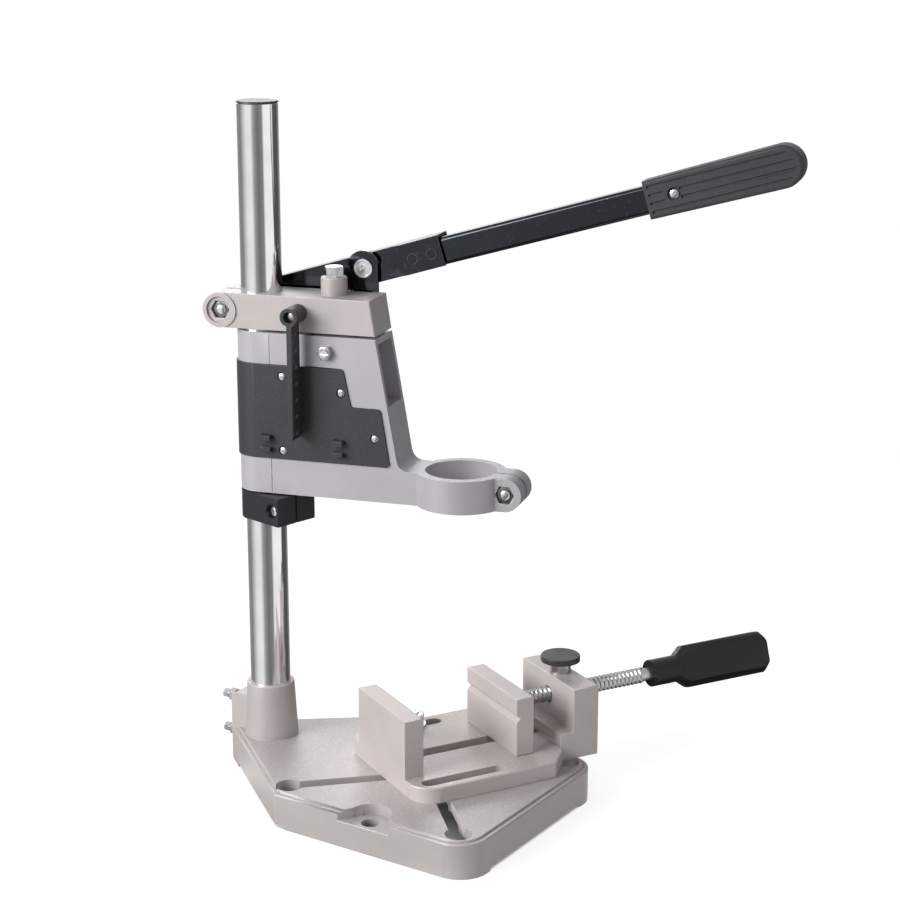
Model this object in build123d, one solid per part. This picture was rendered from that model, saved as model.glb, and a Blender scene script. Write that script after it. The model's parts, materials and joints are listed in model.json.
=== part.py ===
from build123d import *
import math
import os

# A bench drill stand: a ribbed base with a clamped column, a fixed head that
# carries a hand lever, a sprung carriage with a drill collar, a depth scale,
# a stop ring, and a small machine vise on the base.
# Millimetres. The origin is on the table plane under the column axis, +X runs
# to the front of the base, +Y away from the scale side, and +Z up.

# Angles of the rest pose, in degrees
head_swing = 15.7
ring_turn = -11.0
vise_turn = 61.0
paddle_roll = 20.0
bar_droop = 0.6

# Shared clearances and cutters
running_gap = 0.05
part_gap = 0.3
seat_gap = 0.1
bolt_gap = 0.15
cut_over = 2.0
slit_width = 2.4
edge_radius = 1.0
small_radius = 0.6

# Fasteners: shank radius, width across flats, head and nut heights
m3_radius = 1.5
m3_head_radius = 2.4
m3_head_height = 1.0
m5_radius = 2.5
m5_flats_width = 8.0
m5_head_height = 3.5
m5_nut_height = 4.0
m6_radius = 3.0
m6_flats_width = 10.0
m6_head_height = 4.2
m6_nut_height = 5.0
m6_washer_radius = 6.2
m6_washer_thickness = 1.4
m8_radius = 4.0
m8_flats_width = 13.0
m8_head_height = 5.3
m8_nut_height = 6.5
m8_washer_radius = 8.0
m8_washer_thickness = 1.6

# Base casting
base_top_z = 22.4
base_front_x = 195.5
base_half_width = 73.0
base_shoulder_x = 58.5
base_rear_x = -27.5
base_rear_half_width = 6.0
base_corner_radius = 18.0
base_shoulder_radius = 5.0
base_rim_height = 1.2
base_rim_width = 3.2
base_wall_thickness = 5.0
base_plate_thickness = 6.5
base_rib_thickness = 4.0
base_relief_height = 2.2
rear_foot_length = 12.0
side_foot_length = 7.0
front_foot_width = 22.0
rib_count = 4
rib_spacing_x = 36.0
rib_spacing_y = 26.0
first_rib_x = 48.0
socket_height = 34.8
socket_top_z = base_top_z + socket_height
socket_top_radius = 14.8
socket_foot_radius = 16.8
lug_height = 22.8
lug_top_z = base_top_z + lug_height
lug_corner_radius = 4.5
set_bolt_upper_height = 18.1
set_bolt_lower_depth = 4.8
set_bolt_upper_z = base_top_z + set_bolt_upper_height
set_bolt_lower_z = base_top_z - set_bolt_lower_depth
set_bolt_length = 9.5
keyhole_edge_width = 13.0
pattern_x = 120.0
pattern_half_width = base_half_width - keyhole_edge_width
keyhole_radius = 8.2
slot_width = 9.0
slot_inner_share = 0.13
nut_channel_width = 19.0
bench_hole_edge_width = 8.0
bench_hole_x = 122.5
bench_hole_y = base_half_width - bench_hole_edge_width
bench_hole_radius = 5.5
bench_pocket_radius = 12.5
bench_pocket_half_width = 19.0
bench_pocket_depth = 6.2
bench_pocket_floor_z = base_top_z - bench_pocket_depth
bench_boss_radius = 11.0

# Column
column_radius = 12.5
column_wall_thickness = 2.0
column_length = 402.0
column_seat_depth = 8.0
column_foot_z = base_top_z - column_seat_depth
column_top_z = column_foot_z + column_length
cap_flange_thickness = 1.2
cap_plug_depth = 12.0

# Heights of the head and the carriage on the column
head_bottom_z = 284.2
head_height = 21.0
head_top_z = head_bottom_z + head_height
carriage_gap = 1.6
carriage_height = 98.6
carriage_top_z = head_bottom_z - carriage_gap
carriage_bottom_z = carriage_top_z - carriage_height
stroke_length = 60.0

# Head block
head_half_width = 15.0
head_front_x_top = 73.7
head_front_x_bottom = 77.0
barrel_x = -21.0
barrel_radius = 10.5
barrel_half_length = 16.0
barrel_recess_radius = 8.2
barrel_recess_depth = 1.6
clamp_nut_depth = 7.0
rod_x = 46.4
rod_radius = 4.0
rod_foot_height = 3.0
rod_foot_z = carriage_bottom_z + rod_foot_height
rod_boss_radius = 7.9
rod_boss_height = 10.7
rod_boss_top_z = head_top_z + rod_boss_height
rod_socket_depth = 22.0
rod_bolt_depth = 12.0
rod_bolt_head_height = 6.2
scale_x = 29.3
scale_height = 11.6
scale_z = head_bottom_z + scale_height
scale_tube_radius = 5.4
scale_tube_bore_radius = 3.4
scale_tube_front_y = -31.0
scale_bar_thickness = 3.0
scale_bar_inner_y = -17.5
scale_bar_length = 73.8
scale_bar_foot_z = scale_z - scale_bar_length
scale_screw_head_depth = 5.5
scale_screw_length = 9.0

# Carriage casting
carriage_half_width = 15.0
carriage_front_x_top = 77.2
carriage_front_x_low = 89.5
carriage_nose_height = 27.0
carriage_low_z = carriage_bottom_z + carriage_nose_height
arm_height = 20.2
arm_top_z = carriage_bottom_z + arm_height
arm_fillet_radius = 7.0
carriage_end_radius = 15.0
carriage_wall_thickness = 3.0
panel_groove_x = 10.2
panel_groove_width = 0.5
scale_groove_start_x = 26.0
scale_groove_end_x = 33.5
scale_groove_depth = 1.6
front_pocket_rim_height = 3.6
front_pocket_height = 37.0
front_pocket_top_z = carriage_top_z - front_pocket_rim_height
front_pocket_foot_z = front_pocket_top_z - front_pocket_height
front_pocket_half_width = 12.0
front_pocket_depth = 13.0
collar_x = 125.0
collar_bore_radius = 21.5
collar_wall_thickness = 5.5
ear_x = 155.0
ear_radius = 10.1
ear_half_length = 12.0
ear_nut_depth = 5.6
bush_thickness = 0.8
bracket_pad_thickness = 0.4

# Side cover
cover_top_depth = 18.9
cover_foot_height = 22.0
cover_step_depth = 22.7
cover_top_z = carriage_top_z - cover_top_depth
cover_foot_z = carriage_bottom_z + cover_foot_height
cover_step_z = cover_top_z - cover_step_depth
cover_top_x = 57.0
cover_step_inner_x = 61.7
cover_step_outer_x = 80.2
cover_foot_x = 86.0
cover_corner_radius = 2.5
cover_thickness = 2.0
cover_proud_height = 1.0
cover_ledge_width = 3.0
cover_bore_radius = 2.8
cover_bore_depth = 1.2
cover_post_radius = 4.3
cover_screw_left_x = 18.2
cover_screw_top_depth = 7.0
cover_screw_foot_height = 5.2
cover_screw_step_x = 55.4
cover_screw_step_height = 8.3
cover_screw_right_x = 76.4
cover_screw_right_height = 16.9
cover_screw_length = 9.0
clip_length = 6.4
clip_height = 2.4
clip_depth = 4.2
clip_lip_height = 0.9
clip_left_x = 8.2
clip_right_x = 54.2
clip_upper_height = 13.6
clip_lower_height = 6.0
clip_upper_z = cover_foot_z + clip_upper_height
clip_lower_z = cover_foot_z + clip_lower_height

# Gib screw that takes up play on the guide rod
gib_depth = 9.6
gib_z = carriage_top_z - gib_depth
gib_length = 4.5

# Lever
lever_x = barrel_x
lever_z = 0.5 * (head_bottom_z + head_top_z)
lever_top_height = 8.0
lever_foot_height = 10.7
lever_y = 24.7
lever_plate_thickness = 1.6
lever_narrow_width = 12.0
lever_wide_width = 17.6
lever_pin_radius = 5.0
pin_head_radius = 5.8
pin_head_height = 1.5
pin_path_depth = 2.2
lever_slot_gap = 1.2
bracket_x = 59.2
bracket_height = 36.2
bracket_z = carriage_top_z + bracket_height
bracket_half_width = 9.0
bracket_top_radius = 10.6
bracket_eye_radius = 8.0
bracket_arm_width = 10.8
bracket_plate_thickness = 2.5
bracket_inner_gap = 0.8
bracket_web_depth = 23.3
bracket_foot_depth = 32.6
bracket_foot_z = carriage_top_z - bracket_foot_depth
bracket_screw_upper_depth = 7.6
bracket_screw_lower_depth = 24.6
bracket_screw_upper_z = carriage_top_z - bracket_screw_upper_depth
bracket_screw_lower_z = carriage_top_z - bracket_screw_lower_depth
joggle_x = 103.3
joggle_length = 5.6
joggle_end_x = joggle_x + joggle_length
channel_wide_length = 25.1
channel_end_x = joggle_end_x + channel_wide_length
bar_start_x = joggle_end_x + seat_gap
bar_length = 227.0
bar_end_x = bar_start_x + bar_length
bar_height = 16.4
bar_drop_height = 2.0
bar_width = 12.8
bar_wall_thickness = 1.8
bar_corner_radius = 2.4
rivet_edge_length = 6.0
rivet_spacing = 12.0
first_rivet_x = bar_start_x + rivet_edge_length
second_rivet_x = first_rivet_x + rivet_spacing
rivet_radius = 3.0
rivet_head_radius = 4.6
rivet_head_height = 1.4
grip_overlap_length = 76.0
grip_length = 90.9
grip_start_x = bar_end_x - grip_overlap_length
grip_end_x = grip_start_x + grip_length
grip_start_height = 22.3
grip_end_height = 24.4
grip_width = 17.0
grip_edge_radius = 2.0
groove_count = 4
groove_pitch = 4.9
groove_width = 1.9
groove_depth = 1.1
groove_inset_length = 2.8
short_groove_length = 7.6
groove_break_length = 10.4
groove_length = 79.6
inner_groove_length = 82.6
groove_start_x = grip_start_x + groove_inset_length
groove_end_x = groove_start_x + groove_length
inner_groove_end_x = groove_start_x + inner_groove_length
groove_break_x = groove_start_x + short_groove_length
groove_resume_x = groove_break_x + groove_break_length
grip_screw_inset_length = 16.4
grip_screw_x = grip_start_x + grip_screw_inset_length
grip_screw_bore_radius = 4.0
grip_screw_bore_depth = 1.8
grip_screw_head_radius = 3.2

# Return spring
spring_x = 28.0
spring_radius = 5.0
spring_wire_thickness = 1.1
spring_pocket_radius = 6.4
spring_pin_radius = 1.5
spring_pin_inner_y = -8.0
spring_pin_upper_height = 4.8
spring_pin_lower_height = 15.5
spring_pin_upper_z = head_bottom_z + spring_pin_upper_height
spring_pin_lower_z = carriage_bottom_z + spring_pin_lower_height
spring_hook_height = 5.0

# Stop ring
ring_outer_radius = 15.0
ring_front_x = 27.5
ring_half_width = 15.0
ring_top_gap = 0.8
ring_height = 17.6
ring_screw_x = 21.4
ring_nut_depth = 3.4
ring_slit_width = 0.8

# Vise: x runs along its screw, y to the far side, in the vise's own frame
vise_x = 111.5
vise_y = 4.7
vise_gap = 0.1
bed_foot_z = base_top_z + vise_gap
bed_thickness = 9.5
bed_top_z = bed_foot_z + bed_thickness
bed_rear_x = -27.5
bed_half_width = 50.5
bed_corner_radius = 16.0
jaw_half_width = 31.5
fixed_jaw_thickness = 12.5
jaw_height = 36.5
jaw_top_z = bed_top_z + jaw_height
lobe_slot_y = 41.2
lobe_slot_width = 8.6
lobe_slot_start_x = -21.0
lobe_slot_end_x = 34.0
block_start_x = 87.5
block_length = 17.5
block_end_x = block_start_x + block_length
block_height = 35.5
block_top_z = bed_top_z + block_height
block_half_width = 31.5
ledge_length = 9.0
ledge_start_x = block_start_x - ledge_length
ledge_height = 8.0
ledge_top_z = bed_top_z + ledge_height
bed_taper_gap = 1.0
bed_taper_length = 13.5
bed_taper_half_width = 36.0
bed_taper_end_x = ledge_start_x - bed_taper_gap
bed_taper_start_x = bed_taper_end_x - bed_taper_length
jaw_opening_length = 62.5
moving_jaw_thickness = 12.0
jaw_groove_height = 24.0
jaw_groove_z = bed_top_z + jaw_groove_height
jaw_groove_depth = 2.5
jaw_close_length = 53.0
jaw_open_length = 17.0
guide_slot_half_width = 5.0
tongue_gap = 0.3
tongue_length = 16.0
keeper_half_length = 12.0
keeper_half_width = 12.0
keeper_thickness = 2.5
keeper_recess_half_width = 13.5
keeper_screw_head_radius = 4.2
screw_height = 22.0
screw_z = bed_top_z + screw_height
screw_radius = 5.0
screw_tip_radius = 4.0
screw_neck_radius = 3.2
screw_tip_depth = 9.0
screw_end_x = 157.0
screw_shank_length = 21.0
screw_shank_end_x = screw_end_x + screw_shank_length
screw_hole_gap = 0.4
retainer_half_width = 8.0
retainer_thickness = 2.0
retainer_top_height = 7.0
retainer_foot_height = 8.0
retainer_screw_y = 5.6
retainer_screw_depth = 5.2
retainer_screw_length = 6.0
handle_gap = 5.7
handle_start_x = screw_end_x + handle_gap
handle_barrel_radius = 8.6
handle_barrel_length = 19.1
handle_flare_length = 6.4
handle_paddle_length = 63.4
handle_barrel_end_x = handle_start_x + handle_barrel_length
handle_flare_end_x = handle_barrel_end_x + handle_flare_length
handle_end_x = handle_flare_end_x + handle_paddle_length
paddle_half_height = 13.4
paddle_half_thickness = 6.8
paddle_chamfer_width = 4.0
handle_pin_length = 8.5
handle_pin_x = handle_start_x + handle_pin_length
handle_pin_radius = 1.5
handle_pin_near_y = -5.5
plunger_x = (block_start_x + block_end_x) / 2
plunger_radius = 6.5
plunger_foot_height = 12.4
plunger_bore_height = 6.0
plunger_top_height = 9.4
plunger_foot_z = bed_top_z + plunger_foot_height
plunger_bore_z = bed_top_z + plunger_bore_height
plunger_top_z = block_top_z + plunger_top_height
plunger_travel_length = 4.0
knob_radius = 12.2
knob_gap = 7.4
knob_height = 3.6
knob_foot_z = block_top_z + knob_gap
knob_top_z = knob_foot_z + knob_height
knob_hub_radius = 7.6
knob_hub_height = 0.6
knob_hub_foot_z = knob_foot_z - knob_hub_height
knob_edge_radius = 0.8
release_spring_thickness = 1.1
release_spring_radius = 5.4


# Shapes placed by their limits

def block(x0, x1, y0, y1, z0, z1):
    """A box between two corners."""
    middle = Pos((x0 + x1) / 2, (y0 + y1) / 2, (z0 + z1) / 2)
    return middle * Box(x1 - x0, y1 - y0, z1 - z0)


def rod_along_z(radius, x, y, z0, z1):
    return Pos(x, y, (z0 + z1) / 2) * Cylinder(radius, z1 - z0)


def rod_along_y(radius, x, z, y0, y1):
    return Pos(x, (y0 + y1) / 2, z) * Rot(90, 0, 0) * Cylinder(radius, y1 - y0)


def rod_along_x(radius, y, z, x0, x1):
    return Pos((x0 + x1) / 2, y, z) * Rot(0, 90, 0) * Cylinder(radius, x1 - x0)


def hexagon(flats):
    """A hexagon face, given its width across flats."""
    return RegularPolygon(flats / 2, 6, major_radius=False)


def hex_along_z(flats, x, y, z0, z1):
    return Pos(x, y, z0) * extrude(hexagon(flats), z1 - z0)


def hex_along_y(flats, x, z, y0, y1):
    return Pos(x, y0, z) * Rot(-90, 0, 0) * extrude(hexagon(flats), y1 - y0)


def hex_along_x(flats, y, z, x0, x1):
    return Pos(x0, y, z) * Rot(0, 90, 0) * extrude(hexagon(flats), x1 - x0)


def plan_plate(points, z0, z1):
    """A plate with an outline drawn in plan."""
    return Pos(0, 0, z0) * extrude(make_face(Polyline(points, close=True)), z1 - z0)


def side_face(points):
    """A face in the XZ plane from points given as (x, z)."""
    return make_face(Polyline([(x, 0, z) for x, z in points], close=True))


def side_plate(points, y0, y1):
    """A plate with an outline drawn from the side."""
    face = Pos(0, y0, 0) * side_face(points)
    return extrude(face, y1 - y0, dir=(0, 1, 0))


def slot_along_x(width, x0, x1, y, z0, z1):
    """A round-ended slot cutter whose ends lie at x0 and x1."""
    radius = width / 2
    body = block(x0 + radius, x1 - radius, y - radius, y + radius, z0, z1)
    body += rod_along_z(radius, x0 + radius, y, z0, z1)
    return body + rod_along_z(radius, x1 - radius, y, z0, z1)


def round_edges(solid, edges, radius):
    """Rounds the edges, or leaves the solid sharp where there are none."""
    return fillet(edges, radius) if edges else solid


def corners_along_z(solid, x, y):
    """The upright edges of a solid that stand at one place in plan."""
    found = []
    for edge in solid.edges().filter_by(Axis.Z):
        centre = edge.center()
        if math.hypot(centre.X - x, centre.Y - y) < part_gap:
            found.append(edge)
    return found


def top_rim(solid, z):
    """The edges of a solid that lie wholly in the plane at height z."""
    return [e for e in solid.edges() if abs(e.bounding_box().min.Z - z) < running_gap
            and abs(e.bounding_box().max.Z - z) < running_gap]


# Base

def base_outline():
    """The plan of the base: wide at the front, narrowing to the column."""
    half = [
        (base_rear_x, -base_rear_half_width),
        (base_shoulder_x, -base_half_width),
        (base_front_x, -base_half_width),
    ]
    return half + [(x, -y) for x, y in reversed(half)]


def base_prism(inset, z0, z1):
    """The base outline with rounded corners, drawn in by an inset."""
    prism = plan_plate(base_outline(), z0, z1)
    front = [e for s in (-1, 1) for e in corners_along_z(prism, base_front_x, s * base_half_width)]
    prism = round_edges(prism, front, base_corner_radius)
    sides = [e for s in (-1, 1) for e in corners_along_z(prism, base_shoulder_x, s * base_half_width)]
    prism = round_edges(prism, sides, base_shoulder_radius)
    if inset == 0:
        return prism
    face = offset(prism.faces().sort_by(Axis.Z)[0], -inset)
    return Pos(0, 0, z0 - face.center().Z) * extrude(face, z1 - z0, dir=(0, 0, 1))


def slot_frames():
    """The place and direction of each diagonal slot, from its keyhole inwards."""
    for sx in (-1, 1):
        for sy in (-1, 1):
            angle = math.degrees(math.atan2(-sy, -sx))
            yield Pos(pattern_x + sx * pattern_half_width, sy * pattern_half_width) * Rot(0, 0, angle)


def slot_length():
    return math.hypot(pattern_half_width, pattern_half_width) * (1 - slot_inner_share)


def base_ribs():
    """The grid of ribs under the top plate."""
    top = base_top_z - base_plate_thickness + base_rim_height
    half = base_rib_thickness / 2
    ribs = block(0, base_front_x - half, -half, half, base_relief_height, top)
    for side in (-1, 1):
        y = side * rib_spacing_y
        ribs += block(first_rib_x - rib_spacing_x, base_front_x - half, y - half, y + half,
                      base_relief_height, top)
    for step in range(rib_count):
        x = first_rib_x + step * rib_spacing_x
        ribs += block(x - half, x + half, -base_half_width + half, base_half_width - half,
                      base_relief_height, top)
    return ribs


def bench_pocket(side):
    """The pocket that brings a bench bolt down from the top to the side wall."""
    y = side * bench_hole_y
    edge_y = side * (base_half_width + cut_over)
    reach = bench_pocket_half_width
    wedge = plan_plate([
        (bench_hole_x - bench_pocket_radius, y),
        (bench_hole_x + bench_pocket_radius, y),
        (bench_hole_x + reach, edge_y),
        (bench_hole_x - reach, edge_y),
    ], bench_pocket_floor_z, base_top_z + cut_over)
    return wedge + rod_along_z(bench_pocket_radius, bench_hole_x, y, bench_pocket_floor_z,
                               base_top_z + cut_over)


def base_casting():
    rim_z = base_top_z - base_rim_height
    body = base_prism(0, 0, rim_z)
    body = round_edges(body, top_rim(body, rim_z), edge_radius)
    plateau = base_prism(base_rim_width, rim_z - base_rim_height, base_top_z)
    body += round_edges(plateau, top_rim(plateau, base_top_z), small_radius)
    inside = base_prism(base_wall_thickness, -cut_over, rim_z - base_plate_thickness + base_rim_height)
    body -= inside
    body += inside & base_ribs()
    for side in (-1, 1):
        y = side * bench_hole_y
        boss = rod_along_z(bench_boss_radius, bench_hole_x, y, 0,
                           base_top_z - base_plate_thickness + base_rim_height)
        body += boss & base_prism(edge_radius, 0, base_top_z)
        floor = block(
            bench_hole_x - bench_pocket_half_width, bench_hole_x + bench_pocket_half_width,
            min(y - side * bench_pocket_radius, side * (base_half_width - edge_radius)),
            max(y - side * bench_pocket_radius, side * (base_half_width - edge_radius)),
            bench_pocket_floor_z - base_wall_thickness, bench_pocket_floor_z + base_rim_height)
        body += floor
        body -= bench_pocket(side)
        body -= rod_along_z(bench_hole_radius, bench_hole_x, y, -cut_over, base_top_z)
    for frame in slot_frames():
        length = slot_length()
        half = nut_channel_width / 2
        channel = slot_along_x(nut_channel_width, -half, length + half, 0, -cut_over,
                               rim_z - base_plate_thickness + base_rim_height)
        body -= frame * channel
        body -= frame * rod_along_z(keyhole_radius, 0, 0, -cut_over, base_top_z + cut_over)
        body -= frame * slot_along_x(slot_width, 0, length, 0, -cut_over, base_top_z + cut_over)
    body -= base_reliefs()
    body += column_socket()
    body -= rod_along_z(column_radius + running_gap, 0, 0, column_foot_z, socket_top_z + cut_over)
    for z in (set_bolt_upper_z, set_bolt_lower_z):
        body -= rod_along_x(m5_radius + bolt_gap, 0, z, base_rear_x - cut_over, 0)
    return body


def base_reliefs():
    """Shallow cuts under the skirt that leave a foot at the back and at each front corner."""
    half = base_half_width + cut_over
    rear = block(base_rear_x + rear_foot_length, base_shoulder_x + side_foot_length, -half, half,
                 -cut_over, base_relief_height)
    inner = base_half_width - front_foot_width
    front = block(base_front_x - base_wall_thickness - cut_over, base_front_x + cut_over, -inner,
                  inner, -cut_over, base_relief_height)
    return rear + front


def column_socket():
    """The tapered socket on its foot, and the lug behind it that takes the set bolts."""
    rim_z = base_top_z - base_rim_height
    height = socket_top_z - rim_z
    cone = Pos(0, 0, rim_z + height / 2) * Cone(socket_foot_radius, socket_top_radius, height)
    cone = round_edges(cone, top_rim(cone, socket_top_z), small_radius)
    cone += rod_along_z(socket_foot_radius, 0, 0, 0, rim_z)
    lug = block(base_rear_x, 0, -base_rear_half_width, base_rear_half_width, base_relief_height, lug_top_z)
    lug = round_edges(lug, lug.edges().filter_by(Axis.Y).group_by(Axis.Z)[-1].group_by(Axis.X)[0],
                      lug_corner_radius)
    return cone + lug


def column_set_bolts():
    tip_x = -(column_radius + part_gap)
    head_x = base_rear_x - set_bolt_length
    bolts = []
    for z in (set_bolt_upper_z, set_bolt_lower_z):
        shank = rod_along_x(m5_radius, 0, z, head_x, tip_x)
        bolts.append(shank + hex_along_x(m5_flats_width, 0, z, head_x, head_x + m5_head_height))
    return bolts


def column_set_nuts():
    nuts = []
    for z in (set_bolt_upper_z, set_bolt_lower_z):
        nut = hex_along_x(m5_flats_width, 0, z, base_rear_x - m5_nut_height, base_rear_x)
        nuts.append(nut - rod_along_x(m5_radius, 0, z, base_rear_x - 2 * m5_nut_height,
                                      base_rear_x + cut_over))
    return nuts


# Column

def column_tube():
    tube = rod_along_z(column_radius, 0, 0, column_foot_z, column_top_z)
    tube -= rod_along_z(column_radius - column_wall_thickness, 0, 0, column_foot_z - cut_over,
                        column_top_z + cut_over)
    return tube


def column_cap():
    flange = rod_along_z(column_radius, 0, 0, column_top_z, column_top_z + cap_flange_thickness)
    flange = round_edges(flange, top_rim(flange, column_top_z + cap_flange_thickness), small_radius)
    plug_radius = column_radius - column_wall_thickness
    plug = rod_along_z(plug_radius, 0, 0, column_top_z - cap_plug_depth, column_top_z)
    plug -= rod_along_z(plug_radius - column_wall_thickness, 0, 0,
                        column_top_z - cap_plug_depth - cut_over, column_top_z)
    return flange + plug


# Head

def head_block():
    near, far = -head_half_width, head_half_width
    outline = [
        (barrel_x, head_bottom_z),
        (head_front_x_bottom, head_bottom_z),
        (head_front_x_top, head_top_z),
        (barrel_x, head_top_z),
    ]
    body = side_plate(outline, near, far)
    body = round_edges(body, upright_edges(body, head_front_x_bottom), edge_radius)
    body += rod_along_y(barrel_radius, barrel_x, lever_z, -barrel_half_length, barrel_half_length)
    boss = rod_along_z(rod_boss_radius, rod_x, 0, head_top_z - edge_radius, rod_boss_top_z)
    body += round_edges(boss, top_rim(boss, rod_boss_top_z), edge_radius)
    body -= rod_along_z(column_radius + running_gap, 0, 0, head_bottom_z - cut_over, head_top_z + cut_over)
    rear = barrel_x - barrel_radius - cut_over
    body -= block(rear, 0, -slit_width / 2, slit_width / 2, head_bottom_z - cut_over, head_top_z + cut_over)
    body -= rod_along_y(m6_radius + bolt_gap, barrel_x, lever_z, -barrel_half_length - cut_over,
                        barrel_half_length + cut_over)
    face = -barrel_half_length
    body -= rod_along_y(barrel_recess_radius, barrel_x, lever_z, face - cut_over,
                        face + barrel_recess_depth)
    body -= hex_along_y(m6_flats_width + part_gap, barrel_x, lever_z, face, face + clamp_nut_depth)
    body -= rod_along_z(rod_radius, rod_x, 0, head_bottom_z - cut_over, head_bottom_z + rod_socket_depth)
    body -= rod_along_z(m6_radius + bolt_gap, rod_x, 0, head_bottom_z, rod_boss_top_z + cut_over)
    body -= rod_along_y(m5_radius - bolt_gap, scale_x, scale_z, near - cut_over, near + scale_screw_length)
    pocket_top = spring_pin_upper_z + spring_pin_radius + spring_wire_thickness + part_gap
    body -= rod_along_z(spring_pocket_radius, spring_x, 0, head_bottom_z - cut_over, pocket_top)
    body -= rod_along_y(spring_pin_radius, spring_x, spring_pin_upper_z, spring_pin_inner_y, far + cut_over)
    return body - pin_path()


def pin_path():
    """The groove in the far face down which the head of the lever pin travels."""
    half = pin_head_radius + part_gap
    return block(bracket_x - half, bracket_x + half, head_half_width - pin_path_depth,
                 head_half_width + cut_over,
                 head_bottom_z - cut_over, head_top_z + cut_over)


def upright_edges(solid, x):
    """The front corner edges of a solid, which rise from the given x."""
    return [e for e in solid.edges() if e.bounding_box().max.X > x - part_gap
            and e.bounding_box().size.Z > edge_radius]


def lever_bush_end():
    """How far the fulcrum bush reaches, just past the lever's far plate."""
    return lever_y + lever_narrow_width / 2 + part_gap


def head_clamp_bolt():
    """The bolt that closes the head on the column and carries the lever."""
    washer_y = lever_bush_end()
    head_y = washer_y + m6_washer_thickness
    shank = rod_along_y(m6_radius, barrel_x, lever_z, -barrel_half_length + barrel_recess_depth, head_y)
    head = hex_along_y(m6_flats_width, barrel_x, lever_z, head_y, head_y + m6_head_height)
    return shank + head


def head_clamp_nut():
    back_y = -barrel_half_length + clamp_nut_depth
    nut = hex_along_y(m6_flats_width, barrel_x, lever_z, back_y - m6_nut_height, back_y)
    return nut - rod_along_y(m6_radius, barrel_x, lever_z, back_y - 2 * m6_nut_height, back_y + cut_over)


def head_clamp_washer():
    start = lever_bush_end()
    washer = rod_along_y(m6_washer_radius, barrel_x, lever_z, start, start + m6_washer_thickness)
    return washer - rod_along_y(m6_radius, barrel_x, lever_z, start - cut_over, start + cut_over)


def lever_bush():
    """The flanged sleeve on which the lever turns."""
    near_plate_y = lever_y - lever_narrow_width / 2
    end = lever_bush_end()
    bush = rod_along_y(lever_pin_radius, barrel_x, lever_z, barrel_half_length, end)
    flange_end = near_plate_y - part_gap
    bush += rod_along_y(m6_washer_radius, barrel_x, lever_z, barrel_half_length, flange_end)
    return bush - rod_along_y(m6_radius, barrel_x, lever_z, barrel_half_length - cut_over, end + cut_over)


def guide_rod():
    rod = rod_along_z(rod_radius, rod_x, 0, rod_foot_z, head_bottom_z + rod_socket_depth)
    top = head_bottom_z + rod_socket_depth
    return rod - rod_along_z(m6_radius, rod_x, 0, top - rod_bolt_depth, top + cut_over)


def guide_rod_bolt():
    top = head_bottom_z + rod_socket_depth
    shank = rod_along_z(m6_radius, rod_x, 0, top - rod_bolt_depth, rod_boss_top_z)
    head_end = rod_boss_top_z + rod_bolt_head_height
    return shank + hex_along_z(m6_flats_width, rod_x, 0, rod_boss_top_z, head_end)


def depth_scale():
    """The flat scale that hangs from a tube screwed to the head."""
    tube = rod_along_y(scale_tube_radius, scale_x, scale_z, scale_tube_front_y, -head_half_width)
    half = scale_bar_thickness / 2
    bar = block(scale_x - half, scale_x + half, scale_tube_front_y, scale_bar_inner_y,
                scale_bar_foot_z, scale_z)
    scale = tube + bar
    seat_y = scale_tube_front_y + scale_screw_head_depth
    scale -= rod_along_y(scale_tube_bore_radius, scale_x, scale_z, scale_tube_front_y - cut_over, seat_y)
    return scale - rod_along_y(m5_radius, scale_x, scale_z, scale_tube_front_y, -head_half_width + cut_over)


def depth_scale_screw():
    seat_y = scale_tube_front_y + scale_screw_head_depth
    shank_radius = m5_radius - bolt_gap
    shank = rod_along_y(shank_radius, scale_x, scale_z, seat_y - m5_radius,
                        -head_half_width + scale_screw_length)
    head = rod_along_y(scale_tube_bore_radius - bolt_gap, scale_x, scale_z, seat_y - m5_radius, seat_y)
    return shank + head


def spring_pin(z):
    return rod_along_y(spring_pin_radius, spring_x, z, spring_pin_inner_y, head_half_width)


# Carriage

def carriage_outline():
    return [
        (-carriage_end_radius, carriage_bottom_z),
        (collar_x, carriage_bottom_z),
        (collar_x, arm_top_z),
        (front_face_x(arm_top_z), arm_top_z),
        (carriage_front_x_top, carriage_top_z),
        (-carriage_end_radius, carriage_top_z),
    ]


def front_face_x(z):
    """Where the slanted front face of the carriage lies at a height."""
    share = (carriage_top_z - z) / (carriage_top_z - carriage_low_z)
    return carriage_front_x_top + share * (carriage_front_x_low - carriage_front_x_top)


def carriage_plan(radius, half_width, end_x, z0, z1):
    """A plan that is round behind the column and straight towards the collar."""
    return rod_along_z(radius, 0, 0, z0, z1) + block(0, end_x, -half_width, half_width, z0, z1)


def cover_outline(inset):
    """The stepped side outline of the cover, drawn in by an inset."""
    return [
        (-2 * carriage_end_radius, cover_foot_z + inset),
        (cover_foot_x - inset, cover_foot_z + inset),
        (cover_step_outer_x - inset, cover_step_z - inset),
        (cover_step_inner_x - inset, cover_step_z - inset),
        (cover_top_x - inset, cover_top_z - inset),
        (-2 * carriage_end_radius, cover_top_z - inset),
    ]


def cover_prism(inset, y0, y1):
    prism = side_plate(cover_outline(inset), y0, y1)
    corners = [e for e in prism.edges().filter_by(Axis.Y) if e.center().X > 0]
    return round_edges(prism, corners, cover_corner_radius)


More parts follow.
